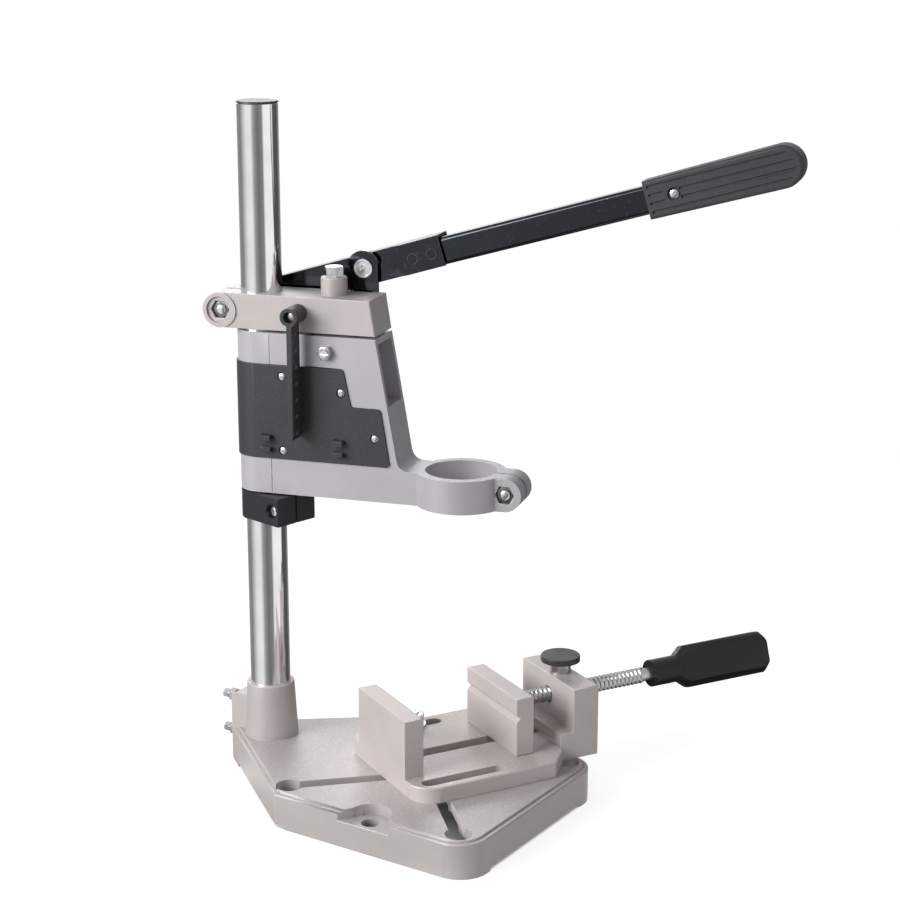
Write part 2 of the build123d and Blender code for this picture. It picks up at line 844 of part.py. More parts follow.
def carriage_body():
    body = side_plate(carriage_outline(), -carriage_half_width, carriage_half_width)
    corner_x = front_face_x(arm_top_z)
    inner = [e for e in body.edges().filter_by(Axis.Y)
             if abs(e.center().X - corner_x) < part_gap and abs(e.center().Z - arm_top_z) < part_gap]
    body = round_edges(body, inner, arm_fillet_radius)
    plan = carriage_plan(carriage_end_radius, carriage_half_width, collar_x, carriage_bottom_z,
                         carriage_top_z)
    body = body & plan
    outer = collar_bore_radius + collar_wall_thickness
    body += rod_along_z(outer, collar_x, 0, carriage_bottom_z, arm_top_z)
    body += block(collar_x, ear_x, -ear_half_length, ear_half_length, carriage_bottom_z, arm_top_z)
    return body + rod_along_y(ear_radius, ear_x, ear_z(), -ear_half_length, ear_half_length)


def cover_seat_y():
    """The plane that the back of the cover rests on."""
    return -carriage_half_width + cover_thickness - cover_proud_height


def ear_z():
    return (carriage_bottom_z + arm_top_z) / 2


def carriage_cavity():
    """The hollow behind the cover, open to the near side and round the column."""
    far = carriage_half_width - carriage_wall_thickness
    hollow = cover_prism(cover_ledge_width, -2 * carriage_half_width, far)
    hollow &= block(0, 2 * collar_x, -2 * carriage_half_width, far, carriage_bottom_z, carriage_top_z)
    rear = 2 * carriage_end_radius
    z0, z1 = cover_foot_z - seat_gap, cover_top_z + seat_gap
    hollow += block(-rear, 0, -rear, 0, z0, z1)
    return hollow + cover_prism(-seat_gap, -2 * carriage_half_width, cover_seat_y())


def carriage_holes():
    """The bores for the column, the guide rod, the spring and the screws."""
    over_z0, over_z1 = carriage_bottom_z - cut_over, carriage_top_z + cut_over
    far = carriage_half_width
    holes = rod_along_z(column_radius + running_gap + bush_thickness, 0, 0, over_z0, over_z1)
    holes += rod_along_z(rod_radius + running_gap, rod_x, 0, over_z0, over_z1)
    pocket_foot = spring_pin_lower_z - spring_pin_radius - spring_wire_thickness - part_gap
    holes += rod_along_z(spring_pocket_radius, spring_x, 0, pocket_foot, over_z1)
    holes += rod_along_y(spring_pin_radius, spring_x, spring_pin_lower_z, spring_pin_inner_y,
                         far + cut_over)
    for x, z in cover_screw_places():
        holes += rod_along_y(m3_radius, x, z, -2 * far, cover_seat_y() + cover_screw_length)
    holes += rod_along_y(m5_radius, rod_x, gib_z, -far - cut_over, 0)
    for z in (bracket_screw_upper_z, bracket_screw_lower_z):
        holes += rod_along_y(m5_radius, bracket_x, z, far - m5_flats_width, far + cut_over)
    return holes


def collar_cuts():
    """The collar's bore, its slit, and the bolt hole through its ears."""
    over_z0, over_z1 = carriage_bottom_z - cut_over, arm_top_z + cut_over
    cuts = rod_along_z(collar_bore_radius, collar_x, 0, over_z0, over_z1)
    slit_end = ear_x + ear_radius + cut_over
    cuts += block(collar_x, slit_end, -slit_width / 2, slit_width / 2, over_z0, over_z1)
    reach = ear_half_length + cut_over
    cuts += rod_along_y(m6_radius + bolt_gap, ear_x, ear_z(), -reach, reach)
    return cuts + hex_along_y(m6_flats_width + part_gap, ear_x, ear_z(), -reach,
                              -ear_half_length + ear_nut_depth)


def carriage_casting():
    body = carriage_body() - carriage_cavity()
    for x, z in cover_screw_places():
        body += rod_along_y(cover_post_radius, x, z, cover_seat_y(),
                            carriage_half_width - carriage_wall_thickness / 2)
    pad_x0, pad_x1 = bracket_x - bracket_half_width, bracket_x + bracket_half_width
    body += block(pad_x0, pad_x1, carriage_half_width - edge_radius,
                  carriage_half_width + bracket_pad_thickness,
                  bracket_foot_z, carriage_top_z)
    return body - carriage_holes() - collar_cuts() - surface_grooves() - front_pocket()


def surface_grooves():
    """The panel line on the near face and the recess behind the scale."""
    near = -carriage_half_width
    half = panel_groove_width / 2
    grooves = block(panel_groove_x - half, panel_groove_x + half, near - cut_over,
                    near + panel_groove_width,
                    carriage_bottom_z + edge_radius, carriage_top_z - edge_radius)
    grooves += block(scale_groove_start_x, scale_groove_end_x, near - cut_over, near + scale_groove_depth,
                     cover_top_z - cut_over, carriage_top_z + cut_over)
    return grooves


def front_pocket():
    """The cast pocket in the slanted front face."""
    depth = front_pocket_depth
    outline = [
        (front_face_x(front_pocket_foot_z) - depth, front_pocket_foot_z),
        (front_face_x(front_pocket_foot_z) + cut_over, front_pocket_foot_z),
        (front_face_x(front_pocket_top_z) + cut_over, front_pocket_top_z),
        (front_face_x(front_pocket_top_z) - depth, front_pocket_top_z),
    ]
    return side_plate(outline, -front_pocket_half_width, front_pocket_half_width)


def column_bushes():
    bushes = []
    for z0, z1 in ((carriage_bottom_z, cover_foot_z), (cover_top_z, carriage_top_z)):
        bush = rod_along_z(column_radius + running_gap + bush_thickness, 0, 0, z0, z1)
        bushes.append(bush - rod_along_z(column_radius + running_gap, 0, 0, z0 - cut_over, z1 + cut_over))
    return bushes


def cover_screw_places():
    """The four screws of the cover, as (x, z)."""
    return [
        (cover_screw_left_x, cover_top_z - cover_screw_top_depth),
        (cover_screw_left_x, cover_foot_z + cover_screw_foot_height),
        (cover_screw_step_x, cover_step_z + cover_screw_step_height),
        (cover_screw_right_x, cover_foot_z + cover_screw_right_height),
    ]


def side_cover():
    outer = carriage_end_radius + cover_proud_height
    inner = outer - cover_thickness
    plan = rod_along_z(outer, 0, 0, cover_foot_z, cover_top_z)
    plan &= block(-2 * outer, 0, -2 * outer, 0, cover_foot_z, cover_top_z)
    plan += block(0, cover_foot_x, -outer, -inner, cover_foot_z, cover_top_z)
    plan -= rod_along_z(inner, 0, 0, cover_foot_z - cut_over, cover_top_z + cut_over)
    cover = plan & cover_prism(0, -2 * outer, cut_over)
    for x, z in cover_screw_places():
        cover -= rod_along_y(cover_bore_radius, x, z, -outer - cut_over, -outer + cover_bore_depth)
        cover -= rod_along_y(m3_radius + bolt_gap, x, z, -outer - cut_over, 0)
    return cover + key_clips(outer)


def key_clips(outer):
    """Two pairs of small hooked lugs that hold a chuck key."""
    clips = Part()
    half = clip_length / 2
    for x in (clip_left_x, clip_right_x):
        for z, lip in ((clip_upper_z, -clip_lip_height), (clip_lower_z, clip_lip_height)):
            root = block(x - half, x + half, -outer - clip_depth, -outer, z - clip_height / 2,
                         z + clip_height / 2)
            shifted = z + lip
            tip = block(x - half, x + half, -outer - clip_depth, -outer - clip_depth + clip_lip_height,
                        shifted - clip_height / 2, shifted + clip_height / 2)
            clips += root + tip
    return clips


def cover_screws():
    outer = carriage_end_radius + cover_proud_height
    screws = []
    for x, z in cover_screw_places():
        seat = -outer + cover_bore_depth
        end = cover_seat_y() + cover_screw_length
        head = rod_along_y(m3_head_radius, x, z, seat - m3_head_height, seat)
        screws.append(head + rod_along_y(m3_radius, x, z, seat, end))
    return screws


def collar_clamp_bolt():
    shank = rod_along_y(m6_radius, ear_x, ear_z(), -ear_half_length, ear_half_length)
    return shank + hex_along_y(m6_flats_width, ear_x, ear_z(), ear_half_length,
                               ear_half_length + m6_head_height)


def collar_clamp_nut():
    back = -ear_half_length + ear_nut_depth
    nut = hex_along_y(m6_flats_width, ear_x, ear_z(), back - m6_nut_height, back)
    return nut - rod_along_y(m6_radius, ear_x, ear_z(), -2 * ear_half_length, 0)


def gib_screw():
    tip = -(rod_radius + part_gap)
    return rod_along_y(m5_radius, rod_x, gib_z, -carriage_half_width - gib_length, tip)


def gib_nut():
    face = -carriage_half_width
    nut = hex_along_y(m5_flats_width, rod_x, gib_z, face - m5_head_height, face)
    return nut - rod_along_y(m5_radius, rod_x, gib_z, face - cut_over - m5_head_height, face + cut_over)


def lever_bracket():
    """The folded bracket on the carriage that straddles the lever."""
    near0 = carriage_half_width + bracket_pad_thickness
    near1 = near0 + bracket_plate_thickness
    far0 = lever_y + lever_narrow_width / 2 + bracket_inner_gap
    far1 = far0 + bracket_plate_thickness
    x0, x1 = bracket_x - bracket_half_width, bracket_x + bracket_half_width
    web_top = bracket_z - bracket_web_depth
    web_foot = web_top - bracket_plate_thickness
    bracket = block(x0, x1, near0, near1, bracket_foot_z, bracket_z)
    bracket += block(x0, x0 + bracket_arm_width, far0, far1, web_foot, bracket_z)
    bracket += block(x0, x0 + bracket_arm_width, near0, far1, web_foot, web_top)
    bracket += rod_along_y(bracket_eye_radius, bracket_x, bracket_z, far0, far1)
    crown = rod_along_y(bracket_top_radius, bracket_x, bracket_z, near0, near1)
    bracket += crown & block(x0, x1, near0, near1, bracket_z - edge_radius,
                             bracket_z + 2 * bracket_top_radius)
    bracket -= rod_along_y(m6_radius + bolt_gap, bracket_x, bracket_z, near0 - cut_over, far1 + cut_over)
    for z in (bracket_screw_upper_z, bracket_screw_lower_z):
        bracket -= rod_along_y(m5_radius + bolt_gap, bracket_x, z, near0 - cut_over, near1 + cut_over)
    return bracket


def bracket_screws():
    seat = carriage_half_width + bracket_pad_thickness + bracket_plate_thickness
    screws = []
    for z in (bracket_screw_upper_z, bracket_screw_lower_z):
        shank = rod_along_y(m5_radius, bracket_x, z, carriage_half_width - m5_flats_width, seat)
        screws.append(shank + hex_along_y(m5_flats_width, bracket_x, z, seat, seat + m5_head_height / 2))
    return screws


def bracket_span():
    """The outer faces of the bracket's two plates."""
    near = carriage_half_width + bracket_pad_thickness
    far = lever_y + lever_narrow_width / 2 + bracket_inner_gap + bracket_plate_thickness
    return near, far


def lever_pin_bolt():
    near, far = bracket_span()
    shank = rod_along_y(m6_radius, bracket_x, bracket_z, near, far + m6_nut_height + edge_radius)
    head = rod_along_y(pin_head_radius, bracket_x, bracket_z, near - pin_head_height, near)
    rim = [e for e in head.edges() if abs(e.center().Y - near + pin_head_height) < running_gap]
    return shank + round_edges(head, rim, small_radius)


def lever_pin_nut():
    far = bracket_span()[1]
    nut = hex_along_y(m6_flats_width, bracket_x, bracket_z, far, far + m6_nut_height)
    return nut - rod_along_y(m6_radius, bracket_x, bracket_z, far - cut_over, far + 2 * m6_nut_height)


def lever_pin_bush():
    near, far = bracket_span()
    start, end = near + bracket_plate_thickness, far - bracket_plate_thickness
    bush = rod_along_y(lever_pin_radius, bracket_x, bracket_z, start, end)
    return bush - rod_along_y(m6_radius, bracket_x, bracket_z, start - cut_over, end + cut_over)


# Return spring

def return_spring():
    """The spring between the two pins: its coils as one tube, with an eye at each end."""
    body_top = spring_pin_upper_z - spring_hook_height
    body_foot = spring_pin_lower_z + spring_hook_height
    spring = rod_along_z(spring_radius, spring_x, 0, body_foot, body_top)
    spring -= rod_along_z(spring_radius - spring_wire_thickness, spring_x, 0, body_foot - cut_over,
                          body_top + cut_over)
    half = spring_wire_thickness / 2
    reach = spring_radius - half
    for pin_z, end_z, inner_z in ((spring_pin_upper_z, body_top, body_top - spring_wire_thickness),
                                  (spring_pin_lower_z, body_foot, body_foot + spring_wire_thickness)):
        eye = rod_along_y(spring_pin_radius + spring_wire_thickness, spring_x, pin_z, -half, half)
        eye += block(spring_x - half, spring_x + half, -half, half, min(pin_z, inner_z),
                     max(pin_z, inner_z))
        eye += block(spring_x - reach, spring_x + reach, -half, half, min(end_z, inner_z),
                     max(end_z, inner_z))
        spring += eye - rod_along_y(spring_pin_radius, spring_x, pin_z, -spring_wire_thickness,
                                    spring_wire_thickness)
    return spring


# Stop ring, in its own frame

def stop_ring():
    top = carriage_bottom_z - ring_top_gap
    foot = top - ring_height
    ring = rod_along_z(ring_outer_radius, 0, 0, foot, top)
    ring += block(0, ring_front_x, -ring_half_width, ring_half_width, foot, top)
    ring -= rod_along_z(column_radius + running_gap, 0, 0, foot - cut_over, top + cut_over)
    ring -= block(0, ring_front_x + cut_over, -ring_slit_width / 2, ring_slit_width / 2, foot - cut_over,
                  top + cut_over)
    middle = (foot + top) / 2
    ring -= rod_along_y(m5_radius + bolt_gap, ring_screw_x, middle, -2 * ring_half_width,
                        2 * ring_half_width)
    near = -ring_half_width
    ring -= hex_along_y(m5_flats_width + part_gap, ring_screw_x, middle, near - cut_over,
                        near + ring_nut_depth)
    far = ring_half_width
    ring -= rod_along_y(m5_flats_width / 2 + part_gap, ring_screw_x, middle, far - ring_nut_depth,
                        far + cut_over)
    return ring


def stop_ring_screw():
    middle = carriage_bottom_z - ring_top_gap - ring_height / 2
    seat = ring_half_width - ring_nut_depth
    shank = rod_along_y(m5_radius, ring_screw_x, middle, -ring_half_width, seat)
    return shank + rod_along_y(m5_flats_width / 2, ring_screw_x, middle, seat, seat + m5_radius)


def stop_ring_nut():
    middle = carriage_bottom_z - ring_top_gap - ring_height / 2
    back = -ring_half_width + ring_nut_depth
    nut = hex_along_y(m5_flats_width, ring_screw_x, middle, back - m5_radius, back)
    return nut - rod_along_y(m5_radius, ring_screw_x, middle, -2 * ring_half_width, 0)


# Lever, drawn level along +X from its fulcrum and then tilted

def lever_tilt():
    """The rest angle of the lever, which puts the bracket pin on its centre line."""
    return math.degrees(math.atan2(bracket_z - lever_z, bracket_x - lever_x))


def on_lever(shape):
    return Pos(lever_x, 0, lever_z) * Rot(0, -lever_tilt(), 0) * shape


def on_bar(shape):
    """Places a shape on the bar, which lies low in the channel and droops a little from it."""
    turn = Pos(bar_start_x, 0, -bar_drop_height) * Rot(0, bar_droop, 0) * Pos(-bar_start_x, 0, 0)
    return on_lever(turn * shape)


def pin_reach():
    """The least, rest and greatest distance from fulcrum to bracket pin."""
    across = bracket_x - lever_x
    rise = bracket_z - lever_z
    return across, math.hypot(across, rise), math.hypot(across, stroke_length - rise)


def channel_side(y0, y1, wide):
    """One plate of the channel, either its narrow or its wide run."""
    start = joggle_end_x if wide else 0
    end = channel_end_x if wide else joggle_x
    plate = side_plate([(start, -lever_foot_height), (end, -lever_foot_height),
                        (end, lever_top_height), (start, lever_top_height)], y0, y1)
    if wide:
        return plate
    return plate + rod_along_y((lever_top_height + lever_foot_height) / 2, 0,
                               (lever_top_height - lever_foot_height) / 2, y0, y1)


def channel_joggle(side):
    """The bend that takes a plate from the narrow run out to the wide run."""
    y_in = lever_y + side * lever_narrow_width / 2
    y_out = lever_y + side * lever_wide_width / 2
    inner = side * lever_plate_thickness
    x0, x1 = joggle_x, joggle_end_x
    over = seat_gap
    points = [(x0 - over, y_in), (x1, y_out), (x1 + over, y_out), (x1 + over, y_out - inner),
              (x0, y_in - inner), (x0 - over, y_in - inner)]
    return plan_plate(points, -lever_foot_height, lever_top_height)


def lever_channel():
    narrow = lever_narrow_width / 2
    wide = lever_wide_width / 2
    channel = Part()
    for side in (-1, 1):
        face_in = lever_y + side * narrow
        y0, y1 = sorted((face_in, face_in - side * lever_plate_thickness))
        channel += channel_side(y0, y1, False)
        face_out = lever_y + side * wide
        y0, y1 = sorted((face_out, face_out - side * lever_plate_thickness))
        channel += channel_side(y0, y1, True)
        channel += channel_joggle(side)
    web_foot = lever_top_height - lever_plate_thickness
    channel += block(0, joggle_x + seat_gap, lever_y - narrow, lever_y + narrow, web_foot, lever_top_height)
    channel += block(joggle_end_x, channel_end_x, lever_y - wide, lever_y + wide, web_foot,
                     lever_top_height)
    x0, x1 = joggle_x, joggle_end_x + seat_gap
    flare = [(x0, lever_y - narrow), (x1, lever_y - wide), (x1, lever_y + wide), (x0, lever_y + narrow)]
    channel += plan_plate(flare, web_foot, lever_top_height)
    near, far = lever_y - wide - cut_over, lever_y + wide + cut_over
    channel -= rod_along_y(lever_pin_radius + running_gap, 0, 0, near, far)
    least, rest, most = pin_reach()
    radius = lever_pin_radius + lever_slot_gap
    channel -= block(least, most, near, far, -radius, radius)
    for x in (least, most):
        channel -= rod_along_y(radius, x, 0, near, far)
    for x in (first_rivet_x, second_rivet_x):
        channel -= rod_along_y(rivet_radius, x, -bar_drop_height, near, far)
    return on_lever(channel)


def lever_bar():
    half_height = bar_height / 2
    half_width = bar_width / 2
    bar = block(bar_start_x, bar_end_x, lever_y - half_width, lever_y + half_width, -half_height,
                half_height)
    bar = fillet(bar.edges().filter_by(Axis.X), bar_corner_radius)
    inner_height = half_height - bar_wall_thickness
    inner_width = half_width - bar_wall_thickness
    bar -= block(bar_start_x - cut_over, bar_end_x + cut_over, lever_y - inner_width, lever_y + inner_width,
                 -inner_height, inner_height)
    bar = on_bar(bar)
    for x in (first_rivet_x, second_rivet_x):
        bar -= on_lever(rod_along_y(rivet_radius, x, -bar_drop_height, lever_y - bar_width,
                                    lever_y + bar_width))
    return bar - on_bar(grip_screw_hole())


def grip_screw_hole():
    return rod_along_y(m5_radius, grip_screw_x, 0, lever_y - grip_width, lever_y + grip_width)


def lever_rivets():
    """Rivets set flush on the near plate, with a head on the far one."""
    near = lever_y - lever_wide_width / 2
    far = lever_y + lever_wide_width / 2
    rivets = []
    for x in (first_rivet_x, second_rivet_x):
        shank = rod_along_y(rivet_radius, x, -bar_drop_height, near, far)
        head = rod_along_y(rivet_head_radius, x, -bar_drop_height, far, far + rivet_head_height)
        rivets.append(on_lever(shank + head))
    return rivets


def grip_body():
    """The outline of the grip, square at its mouth and round at its end."""
    start_half = grip_start_height / 2
    end_half = grip_end_height / 2
    straight_end = grip_end_x - end_half
    y0, y1 = lever_y - grip_width / 2, lever_y + grip_width / 2
    outline = [
        (grip_start_x, -start_half),
        (straight_end, -end_half),
        (straight_end, end_half),
        (grip_start_x, start_half),
    ]
    body = side_plate(outline, y0, y1)
    body += rod_along_y(end_half, straight_end, 0, y0, y1)
    rims = [e for e in body.edges() if e.bounding_box().size.Y < running_gap
            and e.center().X > grip_start_x + grip_edge_radius]
    return round_edges(body, rims, grip_edge_radius)


def lever_grip():
    grip = grip_body()
    half_height = bar_height / 2 + seat_gap / 2
    half_width = bar_width / 2 + seat_gap / 2
    grip -= block(grip_start_x - cut_over, bar_end_x + seat_gap, lever_y - half_width,
                  lever_y + half_width, -half_height, half_height)
    for side in (-1, 1):
        face = lever_y + side * grip_width / 2
        y0, y1 = sorted((face - side * groove_depth, face + side * cut_over))
        for index in range(groove_count):
            z = (index - (groove_count - 1) / 2) * groove_pitch
            if index in (0, groove_count - 1):
                grip -= groove(groove_start_x, groove_end_x, z, y0, y1)
            else:
                grip -= groove(groove_start_x, groove_break_x, z, y0, y1)
                grip -= groove(groove_resume_x, inner_groove_end_x, z, y0, y1)
        bore0, bore1 = sorted((face - side * grip_screw_bore_depth, face + side * cut_over))
        grip -= rod_along_y(grip_screw_bore_radius, grip_screw_x, 0, bore0, bore1)
    return on_bar(grip - grip_screw_hole())


def groove(x0, x1, z, y0, y1):
    radius = groove_width / 2
    cutter = block(x0, x1, y0, y1, z - radius, z + radius)
    cutter += rod_along_y(radius, x0, z, y0, y1)
    return cutter + rod_along_y(radius, x1, z, y0, y1)


def grip_screw():
    near = lever_y - grip_width / 2 + grip_screw_bore_depth
    far = lever_y + grip_width / 2 - grip_screw_bore_depth
    shank = rod_along_y(m5_radius, grip_screw_x, 0, near, far)
    heads = rod_along_y(grip_screw_head_radius, grip_screw_x, 0, near - edge_radius, near)
    heads += rod_along_y(grip_screw_head_radius, grip_screw_x, 0, far, far + edge_radius)
    return on_bar(shank + heads)


# Vise, in its own frame: x along the screw, y to the far side

def bed_outline():
    half = [
        (bed_rear_x, -bed_half_width),
        (bed_taper_start_x, -bed_half_width),
        (bed_taper_end_x, -bed_taper_half_width),
        (ledge_start_x, -block_half_width),
        (block_end_x, -block_half_width),
    ]
    return half + [(x, -y) for x, y in reversed(half)]


def vise_bed():
    bed = plan_plate(bed_outline(), bed_foot_z, bed_top_z)
    corners = [e for s in (-1, 1) for e in corners_along_z(bed, bed_rear_x, s * bed_half_width)]
    bed = round_edges(bed, corners, bed_corner_radius)
    return round_edges(bed, top_rim(bed, bed_top_z), edge_radius)


def vise_body():
    body = vise_bed()
    jaw = block(bed_rear_x, bed_rear_x + fixed_jaw_thickness, -jaw_half_width, jaw_half_width,
                bed_foot_z, jaw_top_z)
    body += round_edges(jaw, top_rim(jaw, jaw_top_z), edge_radius)
    upper = block(block_start_x, block_end_x, -block_half_width, block_half_width, bed_foot_z, block_top_z)
    body += round_edges(upper, top_rim(upper, block_top_z), edge_radius)
    body += block(ledge_start_x, block_end_x, -block_half_width, block_half_width, bed_foot_z, ledge_top_z)
    for side in (-1, 1):
        body -= slot_along_x(lobe_slot_width, lobe_slot_start_x, lobe_slot_end_x, side * lobe_slot_y,
                             bed_foot_z - cut_over, bed_top_z + cut_over)
    start, end = guide_slot_limits()
    width = guide_slot_half_width
    body -= slot_along_x(2 * width, start, end, 0, bed_foot_z - cut_over, bed_top_z + part_gap)
    margin = keeper_half_length - tongue_length / 2 + part_gap
    keeper_top = bed_foot_z + vise_gap + keeper_thickness
    body -= block(start - margin, end + margin, -keeper_recess_half_width, keeper_recess_half_width,
                  bed_foot_z - cut_over, keeper_top + part_gap)
    hole = screw_radius + screw_hole_gap
    body -= rod_along_x(hole, 0, screw_z, block_start_x - cut_over, block_end_x + cut_over)
    bore = plunger_radius + running_gap
    return body - rod_along_z(bore, plunger_x, 0, plunger_bore_z, block_top_z + cut_over)


def moving_jaw_x():
    """The near face of the moving jaw at rest."""
    return bed_rear_x + fixed_jaw_thickness + jaw_opening_length


def guide_slot_limits():
    """The slot in the bed, long enough for the jaw's tongue over its travel."""
    middle = moving_jaw_x() + moving_jaw_thickness / 2
    reach = tongue_length / 2 + guide_slot_half_width / 2 + part_gap
    return middle - jaw_close_length - reach, middle + jaw_open_length + reach


def moving_jaw():
    x0 = moving_jaw_x()
    x1 = x0 + moving_jaw_thickness
    foot = bed_top_z + part_gap
    jaw = block(x0, x1, -jaw_half_width, jaw_half_width, foot, jaw_top_z)
    jaw = round_edges(jaw, top_rim(jaw, jaw_top_z), edge_radius)
    groove_points = [(x0 - cut_over, jaw_groove_z - jaw_groove_depth - cut_over),
                     (x0 + jaw_groove_depth, jaw_groove_z),
                     (x0 - cut_over, jaw_groove_z + jaw_groove_depth + cut_over)]
    jaw -= side_plate(groove_points, -2 * jaw_half_width, 2 * jaw_half_width)
    middle = (x0 + x1) / 2
    tongue = guide_slot_half_width - tongue_gap
    tongue_foot = bed_foot_z + vise_gap + keeper_thickness
    reach = tongue_length / 2 - guide_slot_half_width / 2
    jaw += block(middle - reach, middle + reach, -tongue, tongue, tongue_foot, foot + edge_radius)
    jaw -= rod_along_x(screw_tip_radius + running_gap, 0, screw_z, x1 - screw_tip_depth - part_gap,
                       x1 + cut_over)
    for side in (-1, 1):
        jaw -= rod_along_x(m3_radius, side * retainer_screw_y, screw_z - retainer_screw_depth,
                           x1 - retainer_screw_length, x1 + cut_over)
    return jaw - rod_along_z(m5_radius, middle, 0, tongue_foot - cut_over, foot + m5_flats_width)


def jaw_keeper():
    middle = moving_jaw_x() + moving_jaw_thickness / 2
    foot = bed_foot_z + vise_gap
    keeper = block(middle - keeper_half_length, middle + keeper_half_length, -keeper_half_width,
                   keeper_half_width,
                   foot, foot + keeper_thickness)
    keeper -= rod_along_z(m5_radius + bolt_gap, middle, 0, foot - cut_over, foot + 2 * keeper_thickness)
    return keeper - keeper_countersink(middle, foot)


def keeper_countersink(middle, foot):
    depth = keeper_screw_head_radius - m5_radius
    return Pos(middle, 0, foot + depth / 2) * Cone(keeper_screw_head_radius, m5_radius, depth)


def keeper_screw():
    middle = moving_jaw_x() + moving_jaw_thickness / 2
    foot = bed_foot_z + vise_gap
    shank = rod_along_z(m5_radius, middle, 0, foot, bed_top_z + part_gap + m5_flats_width - edge_radius)
    return shank + keeper_countersink(middle, foot)


def screw_retainer():
    """The forked plate that holds the screw's neck to the jaw."""
    x0 = moving_jaw_x() + moving_jaw_thickness
    x1 = x0 + retainer_thickness
    plate = block(x0, x1, -retainer_half_width, retainer_half_width, screw_z - retainer_foot_height,
                  screw_z + retainer_top_height)
    throat = screw_neck_radius + seat_gap
    plate -= rod_along_x(throat, 0, screw_z, x0 - cut_over, x1 + cut_over)
    plate -= block(x0 - cut_over, x1 + cut_over, -throat, throat,
                   screw_z - 2 * retainer_foot_height, screw_z)
    for side in (-1, 1):
        plate -= rod_along_x(m3_radius, side * retainer_screw_y, screw_z - retainer_screw_depth,
                             x0 - cut_over, x1 + cut_over)
    return plate


def retainer_screws():
    x0 = moving_jaw_x() + moving_jaw_thickness
    seat = x0 + retainer_thickness
    screws = []
    for side in (-1, 1):
        y = side * retainer_screw_y
        z = screw_z - retainer_screw_depth
        shank = rod_along_x(m3_radius, y, z, x0 - retainer_screw_length + seat_gap, seat)
        screws.append(shank + rod_along_x(m3_head_radius, y, z, seat, seat + m3_head_height))
    return screws


def lead_screw():
    jaw_back = moving_jaw_x() + moving_jaw_thickness
    neck_end = jaw_back + retainer_thickness + 2 * seat_gap
    screw = rod_along_x(screw_tip_radius, 0, screw_z, jaw_back - screw_tip_depth, jaw_back - seat_gap)
    screw += rod_along_x(screw_neck_radius, 0, screw_z, jaw_back - screw_tip_depth, neck_end)
    screw += rod_along_x(screw_radius, 0, screw_z, neck_end, screw_end_x)
    screw += rod_along_x(screw_tip_radius, 0, screw_z, screw_end_x, screw_shank_end_x)
    return screw - rod_along_y(handle_pin_radius, handle_pin_x, screw_z, -screw_radius - cut_over,
                               screw_radius + cut_over)


def paddle_section(half_height, half_thickness, chamfer):
    """The eight-sided section of the handle, in the YZ plane."""
    h, t, c = half_height, half_thickness, chamfer
    points = [(t, -h + c), (t, h - c), (t - c, h), (-t + c, h), (-t, h - c), (-t, -h + c),
              (-t + c, -h), (t - c, -h)]
    return make_face(Polyline([(0, y, z) for y, z in points], close=True))


def vise_handle():
    """A round barrel that flares into a flat paddle with chamfered edges."""
    barrel = rod_along_x(handle_barrel_radius, 0, 0, handle_start_x, handle_barrel_end_x)
    height, thickness, chamfer = paddle_half_height, paddle_half_thickness, paddle_chamfer_width
    narrow = paddle_section(handle_barrel_radius - edge_radius, thickness, chamfer)
    narrow = Pos(handle_barrel_end_x - edge_radius, 0, 0) * narrow
    wide = Pos(handle_flare_end_x, 0, 0) * paddle_section(height, thickness, chamfer)
    end = Pos(handle_end_x - chamfer, 0, 0) * paddle_section(height, thickness, chamfer)
    tip = paddle_section(height - chamfer, thickness - edge_radius, chamfer - edge_radius)
    tip = Pos(handle_end_x, 0, 0) * tip
    flare = loft([narrow, wide], ruled=True)
    paddle = loft([wide, end], ruled=True)
    handle = barrel + flare + paddle + loft([end, tip], ruled=True)
    handle -= rod_along_x(screw_tip_radius, 0, 0, handle_start_x - cut_over, screw_shank_end_x)
    handle = Pos(0, 0, screw_z) * Rot(-paddle_roll, 0, 0) * handle
    return handle - rod_along_y(handle_pin_radius, handle_pin_x, screw_z, handle_pin_near_y,
                                2 * handle_barrel_radius)


def handle_pin():
    reach = handle_barrel_radius - edge_radius
    return rod_along_y(handle_pin_radius, handle_pin_x, screw_z, handle_pin_near_y, reach)


def release_plunger():
    """The sprung half nut: its cross hole grips the thread until it is pressed."""
    plunger = rod_along_z(plunger_radius, plunger_x, 0, plunger_foot_z, plunger_top_z)
    hole = screw_radius + 2 * running_gap
    high = screw_z + plunger_travel_length
    x0, x1 = plunger_x - 2 * plunger_radius, plunger_x + 2 * plunger_radius
    plunger -= rod_along_x(hole, 0, screw_z, x0, x1)
    plunger -= rod_along_x(hole, 0, high, x0, x1)
    return plunger - block(x0, x1, -hole, hole, screw_z, high)


def release_knob():
    knob = rod_along_z(knob_radius, plunger_x, 0, knob_foot_z, knob_top_z)
    knob = round_edges(knob, top_rim(knob, knob_top_z), knob_edge_radius)
    knob += rod_along_z(knob_hub_radius, plunger_x, 0, knob_hub_foot_z, knob_foot_z + edge_radius)
    return knob - rod_along_z(plunger_radius, plunger_x, 0, knob_hub_foot_z - cut_over, plunger_top_z)


def release_spring():
    top = plunger_foot_z
    spring = rod_along_z(release_spring_radius, plunger_x, 0, plunger_bore_z, top)
    inner = release_spring_radius - release_spring_thickness
    return spring - rod_along_z(inner, plunger_x, 0, plunger_bore_z - cut_over, top + cut_over)


# Vise bolt, in the base's frame

def vise_bolt_place():
    """Where the far lobe's slot crosses a diagonal slot of the base."""
    turn = math.radians(vise_turn)
    c, s = math.cos(turn), math.sin(turn)
    start_x = vise_x - lobe_slot_y * s
    start_y = vise_y + lobe_slot_y * c
    along = (pattern_x - start_x - start_y) / (c + s)
    return start_x + along * c, start_y + along * s


